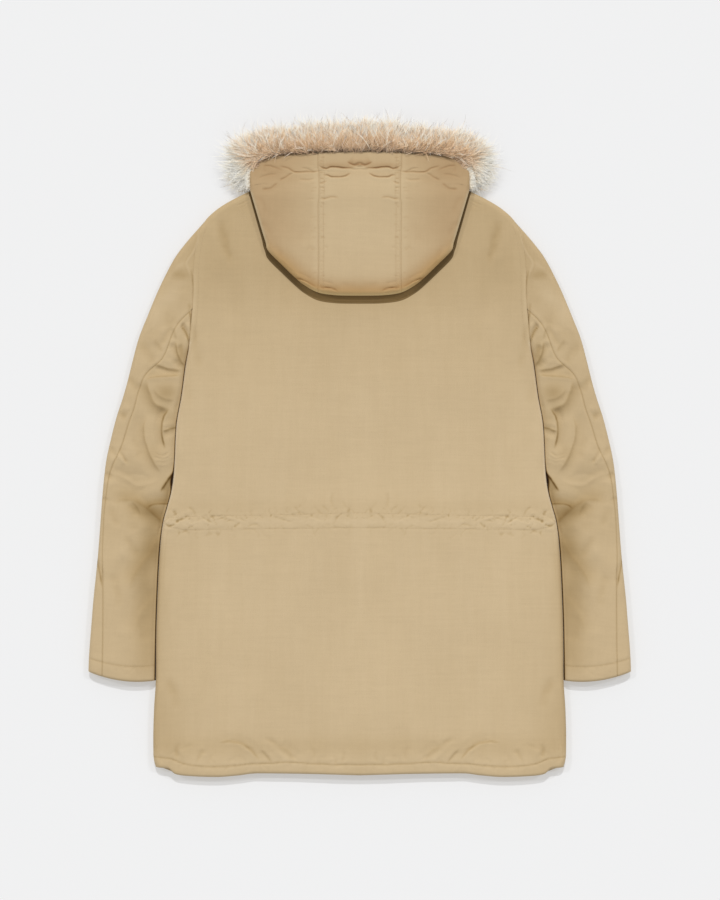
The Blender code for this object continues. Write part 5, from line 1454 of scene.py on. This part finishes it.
def hair(name, locks, per, seed, mat, z_low, z_high, kind, x_range):
    """Flat tapered hairs in locks: the hairs of a lock start apart and run together at its tip.
    kind is 'wool' for the dense coat, 'guard' for long hairs, 'wisp' for the few longest, 'cover' for
    the hairs that fall over the hood's edge."""
    rng = np.random.RandomState(seed)
    total = FUR_S[-1]
    ls = (np.arange(locks) + rng.rand(locks)) / locks * 2 * total
    lmirror = np.where(ls > total, -1.0, 1.0)
    rx, ry, tx, ty, full = fur_at(np.where(ls > total, 2 * total - ls, ls))
    depth = rng.rand(locks)
    dx, dy = tx - rx, ty - ry
    reach = np.hypot(dx, dy)
    ux, uy = dx / reach, dy / reach
    spread = {"wool": 0.58, "guard": 0.56, "wisp": 0.36, "cover": 0.42}[kind]
    # towards the sides the hair leaves the edge slanting outwards and bends up again
    slant = smooth(10.0, 120.0, rx) * (1 - smooth(144.0, 160.0, rx))
    most = 0.75 if kind == "cover" else 1.05
    lean = np.clip(spread * rng.normal(0, 1, locks), -most, most) - 0.42 * slant
    curl = {"wool": 0.66, "guard": 0.70, "wisp": 0.45, "cover": 0.5}[kind] * rng.normal(0, 1, locks) + 0.45 * slant
    room = np.minimum(1.0, reach / 50.0)
    if kind == "wool":
        start = -1.8 + (27.0 * depth) * room
        length = reach * (0.27 + 0.20 * rng.rand(locks)) * (1.10 - 0.22 * depth)
    elif kind == "guard":
        start = -1.0 + (26.0 * depth) * room
        length = reach * (0.34 + 0.38 * rng.rand(locks) ** 1.5) * (1.08 - 0.20 * depth)
    elif kind == "cover":
        corner = smooth(128.0, 150.0, rx) * smooth(872.0, 888.0, ry)
        low = smooth(155.0, 161.0, rx) * (1 - smooth(882.0, 893.0, ry))
        start = -(1.2 + (0.5 + 3.2 * smooth(150.0, 160.0, rx) + 8.5 * corner) * depth)
        length = (6.0 + 6.0 * rng.rand(locks) + 6.0 * smooth(132.0, 157.0, rx)) * (1 - 0.50 * low)
    else:
        start = 6.0 + 26.0 * depth * room
        length = reach * (0.34 + 0.26 * rng.rand(locks)) + 13.0 * rng.rand(locks) ** 1.5
    length = length * (1 + 0.20 * noise(ls, 0 * ls, 13.0, 410) + 0.12 * noise(ls, 0 * ls, 5.0, 411))
    rise = rng.rand(locks)
    height = (z_high - z_low) * full
    lx, ly = rx + ux * start, ry + uy * start
    lz = z_low + height * (0.80 - 0.62 * depth + 0.10 * rng.rand(locks)) \
        - (4.5 * smooth(150.0, 161.0, rx) + 3.0 * smooth(150.0, 160.0, rx) * (1 - smooth(862.0, 884.0, ry))) * (z_low > 5.0)
    if kind == "cover":
        lz = np.maximum(hood_upper(lx, np.minimum(ly, 905.0)) - 0.8, 12.0) * np.ones(locks)
        lz = (lz + 1.4) * (1 - low) + (21.5 + 2.5 * depth) * low
    seg = {"wool": 3, "guard": 4, "wisp": 4, "cover": 3}[kind]
    ts = np.linspace(0, 1, seg + 1)
    # each lock's middle line, from its root
    line = [np.zeros((locks, 3))]
    up = (0.22 + 0.42 * rise) * (0.30 + 0.70 * full) * (1 - 0.5 * smooth(150.0, 162.0, rx))
    up = up * (1 - 0.7 * smooth(150.0, 160.0, rx) * (1 - smooth(862.0, 884.0, ry)))
    for t in ts[:-1]:
        th = lean + curl * (t + 0.5 / seg) * 1.2
        cx, cy = ux * np.cos(th) - uy * np.sin(th), ux * np.sin(th) + uy * np.cos(th)
        pitch = up * (1.0 - 2.1 * (t + 0.5 / seg))
        step = length / seg
        line.append(line[-1] + np.stack([cx * step * np.cos(pitch), cy * step * np.cos(pitch), step * np.sin(pitch)], -1))
    line = np.stack(line, 1)
    count = locks * per
    pick = np.repeat(np.arange(locks), per)
    wide = {"wool": 2.3, "guard": 1.6, "wisp": 1.2, "cover": 1.2}[kind]
    off = rng.normal(0, 1, (count, 3)) * np.array([wide, wide, wide * 0.5])
    reach_h = 0.66 + 0.38 * rng.rand(count)
    pull = ((0.34 if kind == "wool" else 0.46) + 0.42 * rng.rand(locks))[pick]
    pts = []
    for k, t in enumerate(ts):
        tt = t * reach_h
        idx = tt * seg
        i0 = np.minimum(idx.astype(int), seg - 1)
        w = (idx - i0)[:, None]
        c = line[pick, i0] * (1 - w) + line[pick, i0 + 1] * w
        close = (1 - pull * tt ** 1.1)[:, None]
        stray = rng.normal(0, 1, (count, 3)) * (0.35 * t)
        pts.append(c + off * close + stray)
    pts = np.stack(pts, 1) + np.stack([lx, ly, lz], -1)[pick][:, None, :]
    pts[..., 2] = np.clip(pts[..., 2], max(z_low - 9.0, 0.3), z_high + 7.0)
    pts[..., 0] = pts[..., 0] * lmirror[pick][:, None]
    thin = rng.rand(count) < (0.55 + 0.45 * full[pick])
    root_x = (rx * lmirror)[pick]
    keep = thin & (root_x >= x_range[0]) & (root_x < x_range[1])
    if kind == "cover":
        keep = keep & (rng.rand(count) < 0.10 + 0.90 * smooth(126.0, 152.0, rx[pick]))
    tone_l = rng.rand(locks)
    sideness = np.maximum(smooth(146.0, 162.0, rx), 0.05 * smooth(84.0, 130.0, rx))[pick]
    own = {"wool": 0.50, "guard": 0.55, "wisp": 0.30, "cover": 0.60}[kind]
    tone = np.clip((1 - own) * tone_l[pick] + own * rng.rand(count), 0, 1)
    odd = rng.rand(locks)[pick]
    if kind == "wisp":
        tone = np.where(odd < 0.26 * (1 - 0.9 * sideness), 0.93 + 0.05 * tone, 0.72 + 0.165 * tone)
    elif kind == "cover":
        tone = (0.13 + 0.20 * tone) * (1 - low[pick]) + (0.70 + 0.16 * tone) * low[pick]
    else:
        slow = (0.09 * noise(ls, 0 * ls, 17.0, 412) + 0.05 * noise(ls, 0 * ls, 45.0, 413) + 0.21 * depth)[pick]
        outer = np.maximum(smooth(0.0, 0.35, depth), 0.9 * (1 - smooth(862.0, 876.0, ry)))[pick]
        even = 1 - 0.45 * depth[pick]
        tone = 0.085 + tone ** 1.7 * 0.38 * (1 - 0.5 * sideness) * even + (0.52 + 0.30 * outer) * sideness + slow
        tone = np.where((odd < (0.20 if kind == "wool" else 0.11)) & (sideness < 0.5) & (depth[pick] < 0.42),
                        0.02 + 0.08 * tone_l[pick], tone)
        cream = (odd > 0.86) & (kind == "guard") & (sideness < 0.5)
        tone = np.where(cream, 0.58 + 0.18 * tone_l[pick], np.minimum(tone, 0.885))
        tone = np.where((odd > 0.97) & (kind == "guard") & (sideness < 0.5), 0.95, tone)       # dark tips
    width = {"wool": (0.46, 0.24), "guard": (0.36, 0.26), "wisp": (0.20, 0.12), "cover": (0.36, 0.2)}[kind]
    width = width[0] + width[1] * rng.rand(count)
    roll = (rng.rand(count) - 0.5) * 1.15
    pts, tone, width, roll = pts[keep], tone[keep], width[keep], roll[keep]
    n = len(pts)
    d = pts[:, -1] - pts[:, 0]
    d /= np.linalg.norm(d, axis=1)[:, None] + 1e-9
    e1 = np.cross(d, np.array([0.0, 0.0, 1.0]))
    e1 /= np.linalg.norm(e1, axis=1)[:, None] + 1e-9
    e2 = np.cross(e1, d)
    wv = e1 * np.cos(roll)[:, None] + e2 * np.sin(roll)[:, None]
    taper = np.interp(ts[:-1], [0, 0.3, 0.7, 1.0], [0.85, 1.0, 0.72, 0.2])
    left = pts[:, :-1] + wv[:, None, :] * (width[:, None] * taper[None, :] / 2)[..., None]
    right = pts[:, :-1] - wv[:, None, :] * (width[:, None] * taper[None, :] / 2)[..., None]
    per_v = 2 * seg + 1
    verts = np.zeros((n, per_v, 3))
    verts[:, 0:2 * seg:2] = left
    verts[:, 1:2 * seg:2] = right
    verts[:, -1] = pts[:, -1]
    base = (np.arange(n) * per_v)[:, None]
    quads = np.concatenate([base + np.array([2 * i, 2 * i + 1, 2 * i + 3, 2 * i + 2]) for i in range(seg - 1)], 1)
    tri = base + np.array([2 * seg - 2, 2 * seg - 1, 2 * seg])
    loop = np.concatenate([quads, tri], 1).ravel()
    sizes = np.tile(np.array([4] * (seg - 1) + [3]), n)
    begin = np.concatenate([[0], np.cumsum(sizes)[:-1]])
    mesh = bpy.data.meshes.new(name)
    mesh.vertices.add(n * per_v)
    co = verts.reshape(-1, 3) * MM
    co[:, 1] -= Y_SHIFT * MM
    mesh.vertices.foreach_set("co", co.ravel().astype(np.float32))
    mesh.loops.add(len(loop))
    mesh.loops.foreach_set("vertex_index", loop.astype(np.int32))
    mesh.polygons.add(len(sizes))
    mesh.polygons.foreach_set("loop_start", begin.astype(np.int32))
    mesh.polygons.foreach_set("loop_total", sizes.astype(np.int32))
    mesh.update(calc_edges=True)
    uv = mesh.uv_layers.new(name="OFBake")
    share = 0.01
    tone = np.clip(tone, 0, 1) * 0.96 + 0.02
    place = np.repeat(ts[:seg], 2).tolist() + [1.0]
    u_off = np.array([-share / 2, share / 2] * seg + [0.0])
    uv_v = np.stack([tone[:, None] + u_off[None, :], np.tile(np.array(place), (n, 1)) * 0.98 + 0.01], -1)
    uv.data.foreach_set("uv", uv_v.reshape(-1, 2)[loop].ravel().astype(np.float32))
    mesh.materials.append(mat)
    mesh.shade_smooth()
    obj = bpy.data.objects.new(name, mesh)
    bpy.context.scene.collection.objects.link(obj)
    return obj


def pelt(name, mat, z_low, z_high, under):
    """The fur's skin and densest wool: a closed crescent well inside the hair's reach."""
    st = [(-r[0], r[1], -r[2], r[3], r[4]) for r in FUR[:-1]] + [FUR[-1]] + [r for r in reversed(FUR[:-1])]
    st = np.array(st)
    fine = np.linspace(0, len(st) - 1, 260)
    cols = [np.interp(fine, np.arange(len(st)), st[:, k]) for k in range(5)]
    ring = 22
    th = np.arange(ring) / ring * 2 * math.pi
    verts = []
    for bx, by, tx, ty, full in zip(*cols):
        n = np.array([tx - bx, ty - by])
        reach = np.hypot(*n)
        n = n / reach
        at_side = float(smooth(146.0, 160.0, abs(bx)))
        for a in th:
            f = 0.5 - 0.5 * math.cos(a)
            rough = 1 + 0.26 * float(noise(bx * 3 + 40 * math.cos(a), by * 3 + 40 * math.sin(a), 9.0, 300))
            out = 1.0 + reach * 0.56 * f * rough * (0.25 + 0.75 * full) * (1 - 0.5 * at_side)
            h = 0.5 + 0.42 * math.sin(a) * (1 - 0.35 * f) * rough
            verts.append((bx + n[0] * out, by + n[1] * out,
                          z_low + (z_high - z_low) * h * full * (1 - 0.45 * at_side) - (0.0 if under else 8.5) * at_side))
    faces = []
    m = len(fine)
    for s in range(m - 1):
        for i in range(ring):
            a, b = s * ring + i, s * ring + (i + 1) % ring
            faces.append((a, b, b + ring, a + ring))
    faces.append(tuple(reversed(range(ring))))
    faces.append(tuple((m - 1) * ring + i for i in range(ring)))
    mesh = bpy.data.meshes.new(name)
    mesh.from_pydata([(x * MM, (y - Y_SHIFT) * MM, max(z, 0.3) * MM) for x, y, z in verts], [], faces)
    mesh.materials.append(mat)
    mesh.shade_smooth()
    obj = bpy.data.objects.new(name, mesh)
    bpy.context.scene.collection.objects.link(obj)
    return outward(obj)


# ---------------------------------------------------------------- materials
def nodes_of(name):
    m = bpy.data.materials.new(name)
    m.use_nodes = True
    nt = m.node_tree
    p = nt.nodes["Principled BSDF"]
    return m, nt, p


def add(nt, kind, **values):
    n = nt.nodes.new(kind)
    for key, v in values.items():
        if key.startswith("in_"):
            n.inputs[key[3:].replace("_", " ")].default_value = v
        else:
            setattr(n, key, v)
    return n


def math_node(nt, op, a, b=None, clamp=False):
    n = nt.nodes.new("ShaderNodeMath")
    n.operation = op
    n.use_clamp = clamp
    for i, v in enumerate((a, b)):
        if v is None:
            continue
        if isinstance(v, (int, float)):
            n.inputs[i].default_value = v
        else:
            nt.links.new(v, n.inputs[i])
    return n.outputs[0]


def mix_color(nt, factor, a, b, blend="MIX"):
    n = nt.nodes.new("ShaderNodeMix")
    n.data_type = "RGBA"
    n.blend_type = blend
    ins = {"Factor": n.inputs[0], "A": n.inputs[6], "B": n.inputs[7]}
    for key, v in (("Factor", factor), ("A", a), ("B", b)):
        if isinstance(v, (int, float)):
            ins[key].default_value = v
        elif isinstance(v, tuple):
            ins[key].default_value = (*v, 1.0)
        else:
            nt.links.new(v, ins[key])
    return n.outputs[2]


def twill(name, colour, dark, light, turn=0.0, hood_shadow=False, powers=(0.78, 0.96, 1.38)):
    """Cotton twill: fine diagonal ribs, slubs along warp and weft, and slow changes of tone.
    The Shade attribute is painted shade and highlight place by place, and the back's attributes mark where the hood's
    shadow is painted on it."""
    m, nt, p = nodes_of(name)
    p.inputs["Roughness"].default_value = 0.66
    p.inputs["Specular IOR Level"].default_value = 0.12
    p.inputs["Sheen Weight"].default_value = 0.05
    p.inputs["Sheen Roughness"].default_value = 0.4
    p.inputs["Sheen Tint"].default_value = (0.90, 0.82, 0.66, 1.0)
    tc = add(nt, "ShaderNodeTexCoord")
    turned = add(nt, "ShaderNodeMapping")
    turned.inputs["Rotation"].default_value = (0.0, 0.0, turn)
    nt.links.new(tc.outputs["Object"], turned.inputs["Vector"])
    v = turned.outputs["Vector"]

    def streaks(sx, sy, detail=2.0):
        k = add(nt, "ShaderNodeMapping")
        k.inputs["Scale"].default_value = (sx, sy, 40.0)
        nt.links.new(v, k.inputs["Vector"])
        n = add(nt, "ShaderNodeTexNoise", in_Scale=1.0, in_Detail=detail, in_Roughness=0.5)
        nt.links.new(k.outputs[0], n.inputs["Vector"])
        return n.outputs["Fac"]
    yarn = math_node(nt, "ADD", math_node(nt, "MULTIPLY", streaks(900.0, 60.0), 0.5),
                     math_node(nt, "MULTIPLY", streaks(60.0, 900.0), 0.5))
    slub = math_node(nt, "ADD", math_node(nt, "MULTIPLY", streaks(210.0, 16.0, 1.0), 0.5),
                     math_node(nt, "MULTIPLY", streaks(16.0, 230.0, 1.0), 0.5))
    big = add(nt, "ShaderNodeTexNoise", in_Scale=6.0, in_Detail=2.0, in_Roughness=0.5)
    nt.links.new(v, big.inputs["Vector"])
    sx = add(nt, "ShaderNodeSeparateXYZ")
    nt.links.new(v, sx.inputs[0])
    diag = math_node(nt, "ADD", sx.outputs[0], math_node(nt, "MULTIPLY", sx.outputs[1], 0.62))
    ribs = math_node(nt, "SINE", math_node(nt, "MULTIPLY", diag, 2 * math.pi / 0.0011))
    fac = math_node(nt, "ADD", math_node(nt, "MULTIPLY", big.outputs["Fac"], 0.45),
                    math_node(nt, "MULTIPLY", yarn, 0.20))
    fac = math_node(nt, "ADD", fac, math_node(nt, "MULTIPLY", slub, 0.35))
    ramp = add(nt, "ShaderNodeMapRange")
    ramp.inputs["From Min"].default_value = 0.38
    ramp.inputs["From Max"].default_value = 0.62
    nt.links.new(fac, ramp.inputs["Value"])
    base = mix_color(nt, ramp.outputs[0], dark, light)
    base = mix_color(nt, 0.5, base, colour)
    tone = add(nt, "ShaderNodeAttribute", attribute_type="GEOMETRY", attribute_name="Shade")
    # a deeper painted shade is painted a little warmer
    deep = tone.outputs["Fac"]
    warm = add(nt, "ShaderNodeCombineColor")
    for i, power in enumerate(powers):
        nt.links.new(math_node(nt, "POWER", deep, power), warm.inputs[i])
    base = mix_color(nt, 1.0, base, warm.outputs[0], "MULTIPLY")
    if hood_shadow:
        shadow_band = add(nt, "ShaderNodeAttribute", attribute_type="GEOMETRY", attribute_name="PaintedShadow")
        edge = add(nt, "ShaderNodeMapRange")
        edge.inputs["From Min"].default_value = -0.35
        edge.inputs["From Max"].default_value = 0.35
        nt.links.new(shadow_band.outputs["Fac"], edge.inputs["Value"])
        rim = add(nt, "ShaderNodeMapRange")                     # the painted shadow's outer rim is painted as dark as its middle
        rim.inputs["From Min"].default_value = -4.5
        rim.inputs["From Max"].default_value = -0.5
        rim.inputs["To Min"].default_value = 1.0
        rim.inputs["To Max"].default_value = 0.72
        nt.links.new(shadow_band.outputs["Fac"], rim.inputs["Value"])
        deeper = add(nt, "ShaderNodeAttribute", attribute_type="GEOMETRY", attribute_name="DeeperShade")
        level = math_node(nt, "MULTIPLY", rim.outputs[0], math_node(nt, "SUBTRACT", 1.0, deeper.outputs["Fac"]))
        grey = add(nt, "ShaderNodeCombineColor")
        for i in range(3):
            nt.links.new(level, grey.inputs[i])
        # painted shadow under the hood's edge: deeper and warmer, deeper still towards the sides
        inside = mix_color(nt, 1.0, mix_color(nt, 1.0, base, (0.50, 0.43, 0.30), "MULTIPLY"), grey.outputs[0], "MULTIPLY")
        base = mix_color(nt, edge.outputs[0], inside, base)
    else:
        # painted warm shade along the hood's bottom fold
        fold_warm_shade = add(nt, "ShaderNodeAttribute", attribute_type="GEOMETRY", attribute_name="DeeperShade")
        base = mix_color(nt, fold_warm_shade.outputs["Fac"], base, mix_color(nt, 1.0, base, (0.99, 0.88, 0.67), "MULTIPLY"))
    nt.links.new(base, p.inputs["Base Color"])
    height = math_node(nt, "ADD", math_node(nt, "MULTIPLY", ribs, 0.00004),
                       math_node(nt, "MULTIPLY", yarn, 0.00020))
    height = math_node(nt, "ADD", height, math_node(nt, "MULTIPLY", slub, 0.00030))
    wrinkle = add(nt, "ShaderNodeTexNoise", in_Scale=34.0, in_Detail=1.0, in_Roughness=0.4, in_Distortion=0.5)
    nt.links.new(v, wrinkle.inputs["Vector"])
    height = math_node(nt, "ADD", height, math_node(nt, "MULTIPLY", wrinkle.outputs["Fac"], 0.0007))
    bump = add(nt, "ShaderNodeBump", in_Strength=1.0, in_Distance=1.0)
    nt.links.new(height, bump.inputs["Height"])
    nt.links.new(bump.outputs[0], p.inputs["Normal"])
    return m


def thread(name, colour):
    m, nt, p = nodes_of(name)
    p.inputs["Roughness"].default_value = 0.6
    tc = add(nt, "ShaderNodeTexCoord")
    n = add(nt, "ShaderNodeTexNoise", in_Scale=900.0, in_Detail=1.0)
    nt.links.new(tc.outputs["Object"], n.inputs["Vector"])
    base = mix_color(nt, n.outputs["Fac"], tuple(c * 0.8 for c in colour), tuple(min(1, c * 1.2) for c in colour))
    nt.links.new(base, p.inputs["Base Color"])
    return m


def fur_material(name, pelt_like=False):
    """Hair colour by its tone and the place along it: dark root, tan middle, pale tip."""
    m, nt, p = nodes_of(name)
    p.inputs["Roughness"].default_value = 0.62
    p.inputs["Specular IOR Level"].default_value = 0.25
    if pelt_like:
        tc = add(nt, "ShaderNodeTexCoord")
        n = add(nt, "ShaderNodeTexNoise", in_Scale=260.0, in_Detail=5.0, in_Roughness=0.7)
        nt.links.new(tc.outputs["Object"], n.inputs["Vector"])
        base = mix_color(nt, n.outputs["Fac"], (0.42, 0.285, 0.170), (0.76, 0.54, 0.32))
        wide = add(nt, "ShaderNodeSeparateXYZ")
        nt.links.new(tc.outputs["Object"], wide.inputs[0])
        out = add(nt, "ShaderNodeMapRange")                     # paler wool towards the trim's ends
        out.inputs["From Min"].default_value = 0.150
        out.inputs["From Max"].default_value = 0.164
        nt.links.new(math_node(nt, "ABSOLUTE", wide.outputs[0]), out.inputs["Value"])
        base = mix_color(nt, out.outputs[0], base, mix_color(nt, n.outputs["Fac"], (0.50, 0.44, 0.34), (0.86, 0.81, 0.68)))
        nt.links.new(base, p.inputs["Base Color"])
        bump = add(nt, "ShaderNodeBump", in_Strength=0.8, in_Distance=0.002)
        nt.links.new(n.outputs["Fac"], bump.inputs["Height"])
        nt.links.new(bump.outputs[0], p.inputs["Normal"])
        return m
    uv = add(nt, "ShaderNodeUVMap", uv_map="OFBake")
    sep = add(nt, "ShaderNodeSeparateXYZ")
    nt.links.new(uv.outputs[0], sep.inputs[0])
    tone, place = sep.outputs[0], sep.outputs[1]

    def ramp(stops):
        r = add(nt, "ShaderNodeValToRGB")
        r.color_ramp.interpolation = "EASE"
        el = r.color_ramp.elements
        while len(el) < len(stops):
            el.new(0.5)
        for e, (pos, c) in zip(el, stops):
            e.position = pos
            e.color = (*c, 1.0)
        nt.links.new(place, r.inputs["Fac"])
        return r.outputs["Color"]
    warm = ramp(((0.0, (0.15, 0.095, 0.060)), (0.05, (0.37, 0.238, 0.148)), (0.18, (0.62, 0.402, 0.236)),
                 (0.60, (0.80, 0.532, 0.298)), (0.82, (0.915, 0.70, 0.440)), (1.0, (0.955, 0.88, 0.74))))
    pale = ramp(((0.0, (0.46, 0.39, 0.31)), (0.06, (0.66, 0.57, 0.44)), (0.24, (0.88, 0.78, 0.61)),
                 (0.6, (0.94, 0.885, 0.76)), (0.8, (0.96, 0.94, 0.87)), (1.0, (0.97, 0.965, 0.93))))
    frost = ramp(((0.0, (0.50, 0.45, 0.38)), (0.06, (0.72, 0.66, 0.56)), (0.24, (0.90, 0.85, 0.74)),
                  (0.6, (0.95, 0.93, 0.86)), (0.8, (0.965, 0.955, 0.92)), (1.0, (0.97, 0.97, 0.95))))
    tipped = ramp(((0.0, (0.17, 0.12, 0.090)), (0.15, (0.60, 0.46, 0.33)), (0.45, (0.88, 0.74, 0.57)),
                   (0.68, (0.66, 0.57, 0.48)), (0.85, (0.28, 0.25, 0.22)), (1.0, (0.17, 0.155, 0.145))))
    brown = ramp(((0.0, (0.12, 0.08, 0.055)), (0.08, (0.24, 0.16, 0.105)), (0.30, (0.42, 0.28, 0.165)),
                  (0.65, (0.60, 0.41, 0.24)), (0.85, (0.76, 0.57, 0.37)), (1.0, (0.88, 0.74, 0.55))))
    f0 = add(nt, "ShaderNodeMapRange")
    f0.inputs["From Min"].default_value = 0.06
    f0.inputs["From Max"].default_value = 0.16
    nt.links.new(tone, f0.inputs["Value"])
    warm = mix_color(nt, f0.outputs[0], brown, warm)
    f1 = add(nt, "ShaderNodeMapRange")
    f1.inputs["From Min"].default_value = 0.16
    f1.inputs["From Max"].default_value = 0.72
    nt.links.new(tone, f1.inputs["Value"])
    base = mix_color(nt, f1.outputs[0], warm, pale)
    f2 = add(nt, "ShaderNodeMapRange")
    f2.inputs["From Min"].default_value = 0.77
    f2.inputs["From Max"].default_value = 0.85
    nt.links.new(tone, f2.inputs["Value"])
    base = mix_color(nt, f2.outputs[0], base, frost)
    dark = math_node(nt, "GREATER_THAN", tone, 0.90)
    base = mix_color(nt, dark, base, tipped)
    nt.links.new(base, p.inputs["Base Color"])
    return m


# ---------------------------------------------------------------- build
CLOTH = (0.573, 0.439, 0.264)
twill_body = twill("twill_body", CLOTH, (0.541, 0.413, 0.247), (0.605, 0.465, 0.281), 0.0, True)
twill_sleeve = twill("twill_sleeve", (0.561, 0.427, 0.254), (0.531, 0.402, 0.238), (0.591, 0.452, 0.270), 0.12)
twill_hood = twill("twill_hood", (0.567, 0.435, 0.261), (0.537, 0.411, 0.245), (0.597, 0.459, 0.277), 0.05, False, (0.72, 1.04, 1.36))
thread_mat = thread("thread_tan", (0.555, 0.425, 0.252))

made = {}
made["back"] = make_back(twill_body)
for side, mirror in (("left", -1), ("right", 1)):
    made["front_" + side] = make_front(mirror, "front_%s_shell" % side, twill_body)
    made["sleeve_top_" + side] = top_sleeve(mirror, "sleeve_top_%s_shell" % side, twill_sleeve)
    made["sleeve_under_" + side] = under_sleeve(mirror, "sleeve_under_%s_shell" % side, twill_sleeve)
    made["hood_side_" + side] = make_hood("hood_side_%s_shell" % side, "side", twill_hood, mirror)
    made["hood_throat_" + side] = make_throat(mirror, "hood_throat_%s_shell" % side, twill_hood)
made["hood_center"] = make_hood("hood_center_shell", "centre", twill_hood)
made["front_flap"] = make_flap(twill_body)
for node, obj in made.items():
    outward(obj)
    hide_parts(node)


def both(points, below=False):
    p = np.array(points, float)
    return [(p, below), (p * np.array([-1.0, 1.0]), below)]


def offset(points, d):
    p = np.array(points, float)
    t = np.gradient(p, axis=0)
    t /= np.hypot(t[:, 0], t[:, 1])[:, None]
    return p + np.stack([-t[:, 1], t[:, 0]], -1) * d


arm = np.array([[float(body_half(v)), v] for v in np.linspace(ARMPIT + 4, 803.0, 40)])
cuff_pts = []
for x in np.linspace(0.03, 0.97, 40):
    lvl = CUFF + 22.0
    a = float(inner_edge(lvl)) + x * float(sleeve_outer(lvl) - inner_edge(lvl))
    cuff_pts.append((a, float(sleeve_y(np.array(lvl), np.array(a)))))
runs = []
runs += both([p for p in WAIST_UP if p[0] < 283]) + both([p for p in WAIST_LOW if p[0] < 283])
runs += both([p for p in HEM_LINE if p[0] < 286])
runs += both([(a - 7.5, v) for a, v in arm])
thread_back = stitches("thread_back", runs, [made["back"]], thread_mat)
runs = both(cuff_pts)
thread_sleeves = stitches("thread_sleeves", runs,
                          [made[n] for n in ("sleeve_top_left", "sleeve_top_right", "sleeve_under_left", "sleeve_under_right")],
                          thread_mat)
runs = both([(x - 7.6, v) for x, v in HOOD_SEAM if 703 < v < 904])
runs += both([(x - 1.9, v) for x, v in HOOD_SEAM if 703 < v < 904])
thread_hood = stitches("thread_hood", runs, [made["hood_side_left"], made["hood_side_right"], made["hood_center"]], thread_mat)
runs = [([(-27.5, 12.5), (-27.5, 770.0)], True), ([(27.5, 12.5), (27.5, 770.0)], True)]
runs += both([p for p in HEM_LINE if 38 < p[0] < 286], True)
thread_front = stitches("thread_front", runs, [made["front_flap"], made["front_left"], made["front_right"]], thread_mat)

fur_mat = fur_material("fur_hair")
pelt_mat = fur_material("fur_pelt", True)
fur_pieces = [pelt("fur_pelt_top", pelt_mat, 13.0, 26.5, False), pelt("fur_pelt_under", pelt_mat, 0.6, 6.6, True)]
spans = ((-999, -60), (-60, 60), (60, 999))
for i, span in enumerate(spans):
    fur_pieces.append(hair("fur_wool_top_%d" % i, 5800, 7, 400, fur_mat, 12.0, 28.5, "wool", span))
    fur_pieces.append(hair("fur_guard_top_%d" % i, 6600, 3, 401, fur_mat, 12.0, 29.5, "guard", span))
    fur_pieces.append(hair("fur_wisp_top_%d" % i, 1900, 3, 404, fur_mat, 12.0, 28.0, "wisp", span))
    fur_pieces.append(hair("fur_cover_top_%d" % i, 1900, 4, 406, fur_mat, 12.0, 30.0, "cover", span))
fur_pieces.append(hair("fur_wool_under", 420, 12, 402, fur_mat, 0.5, 6.5, "wool", (-999, 999)))
fur_pieces.append(hair("fur_guard_under", 360, 9, 403, fur_mat, 0.5, 6.5, "guard", (-999, 999)))
for obj in fur_pieces:
    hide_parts("fur_trim_under" if "under" in obj.name else "fur_trim_top")
for obj in [*made.values(), thread_back, thread_sleeves, thread_hood, thread_front, *fur_pieces]:
    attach(obj, "root")

# ---------------------------------------------------------------- floor, light, camera
floor_mesh = bpy.data.meshes.new("floor")
floor_mesh.from_pydata([(-6, -6, 0), (6, -6, 0), (6, 6, 0), (-6, 6, 0)], [], [(0, 1, 2, 3)])
floor = bpy.data.objects.new("floor", floor_mesh)
bpy.context.scene.collection.objects.link(floor)
m, nt, p = nodes_of("floor_pale")
p.inputs["Base Color"].default_value = (0.550, 0.563, 0.584, 1.0)
p.inputs["Roughness"].default_value = 0.95
p.inputs["Specular IOR Level"].default_value = 0.0
p.inputs["Emission Color"].default_value = (1.0, 0.960, 0.900, 1.0)
p.inputs["Emission Strength"].default_value = 0.300
floor_mesh.materials.append(m)

world = bpy.data.worlds.new("studio")
bpy.context.scene.world = world
world.use_nodes = True
bg = world.node_tree.nodes["Background"]
bg.inputs["Color"].default_value = (1.0, 1.0, 1.0, 1.0)
bg.inputs["Strength"].default_value = 0.56


def sun(name, elevation, azimuth, strength, angle):
    """azimuth 0 shines from +Y, 90 from +X."""
    data = bpy.data.lights.new(name, "SUN")
    data.energy = strength
    data.angle = math.radians(angle)
    obj = bpy.data.objects.new(name, data)
    e, z = math.radians(elevation), math.radians(azimuth)
    towards = Vector((math.sin(z) * math.cos(e), math.cos(z) * math.cos(e), math.sin(e)))
    obj.rotation_mode = "QUATERNION"
    obj.rotation_quaternion = towards.to_track_quat("Z", "Y")
    obj.location = towards * 4
    bpy.context.scene.collection.objects.link(obj)
    return obj


sun("key", 46.0, 0.0, 1.32, 0.9)
sun("side_left", 44.0, -52.0, 0.42, 1.8)
sun("side_right", 44.0, 52.0, 0.42, 1.8)

cam_data = bpy.data.cameras.new("camera")
cam_data.lens = 85.0
cam_data.sensor_width = 36.0
cam = bpy.data.objects.new("camera", cam_data)
cam.location = (0.0004, -0.0076, 3.0833 + 0.017)
cam_data.clip_start, cam_data.clip_end = 0.1, 50.0
bpy.context.scene.collection.objects.link(cam)
bpy.context.scene.camera = cam
bpy.context.scene.view_settings.view_transform = "Standard"
bpy.context.scene.view_settings.look = "None"
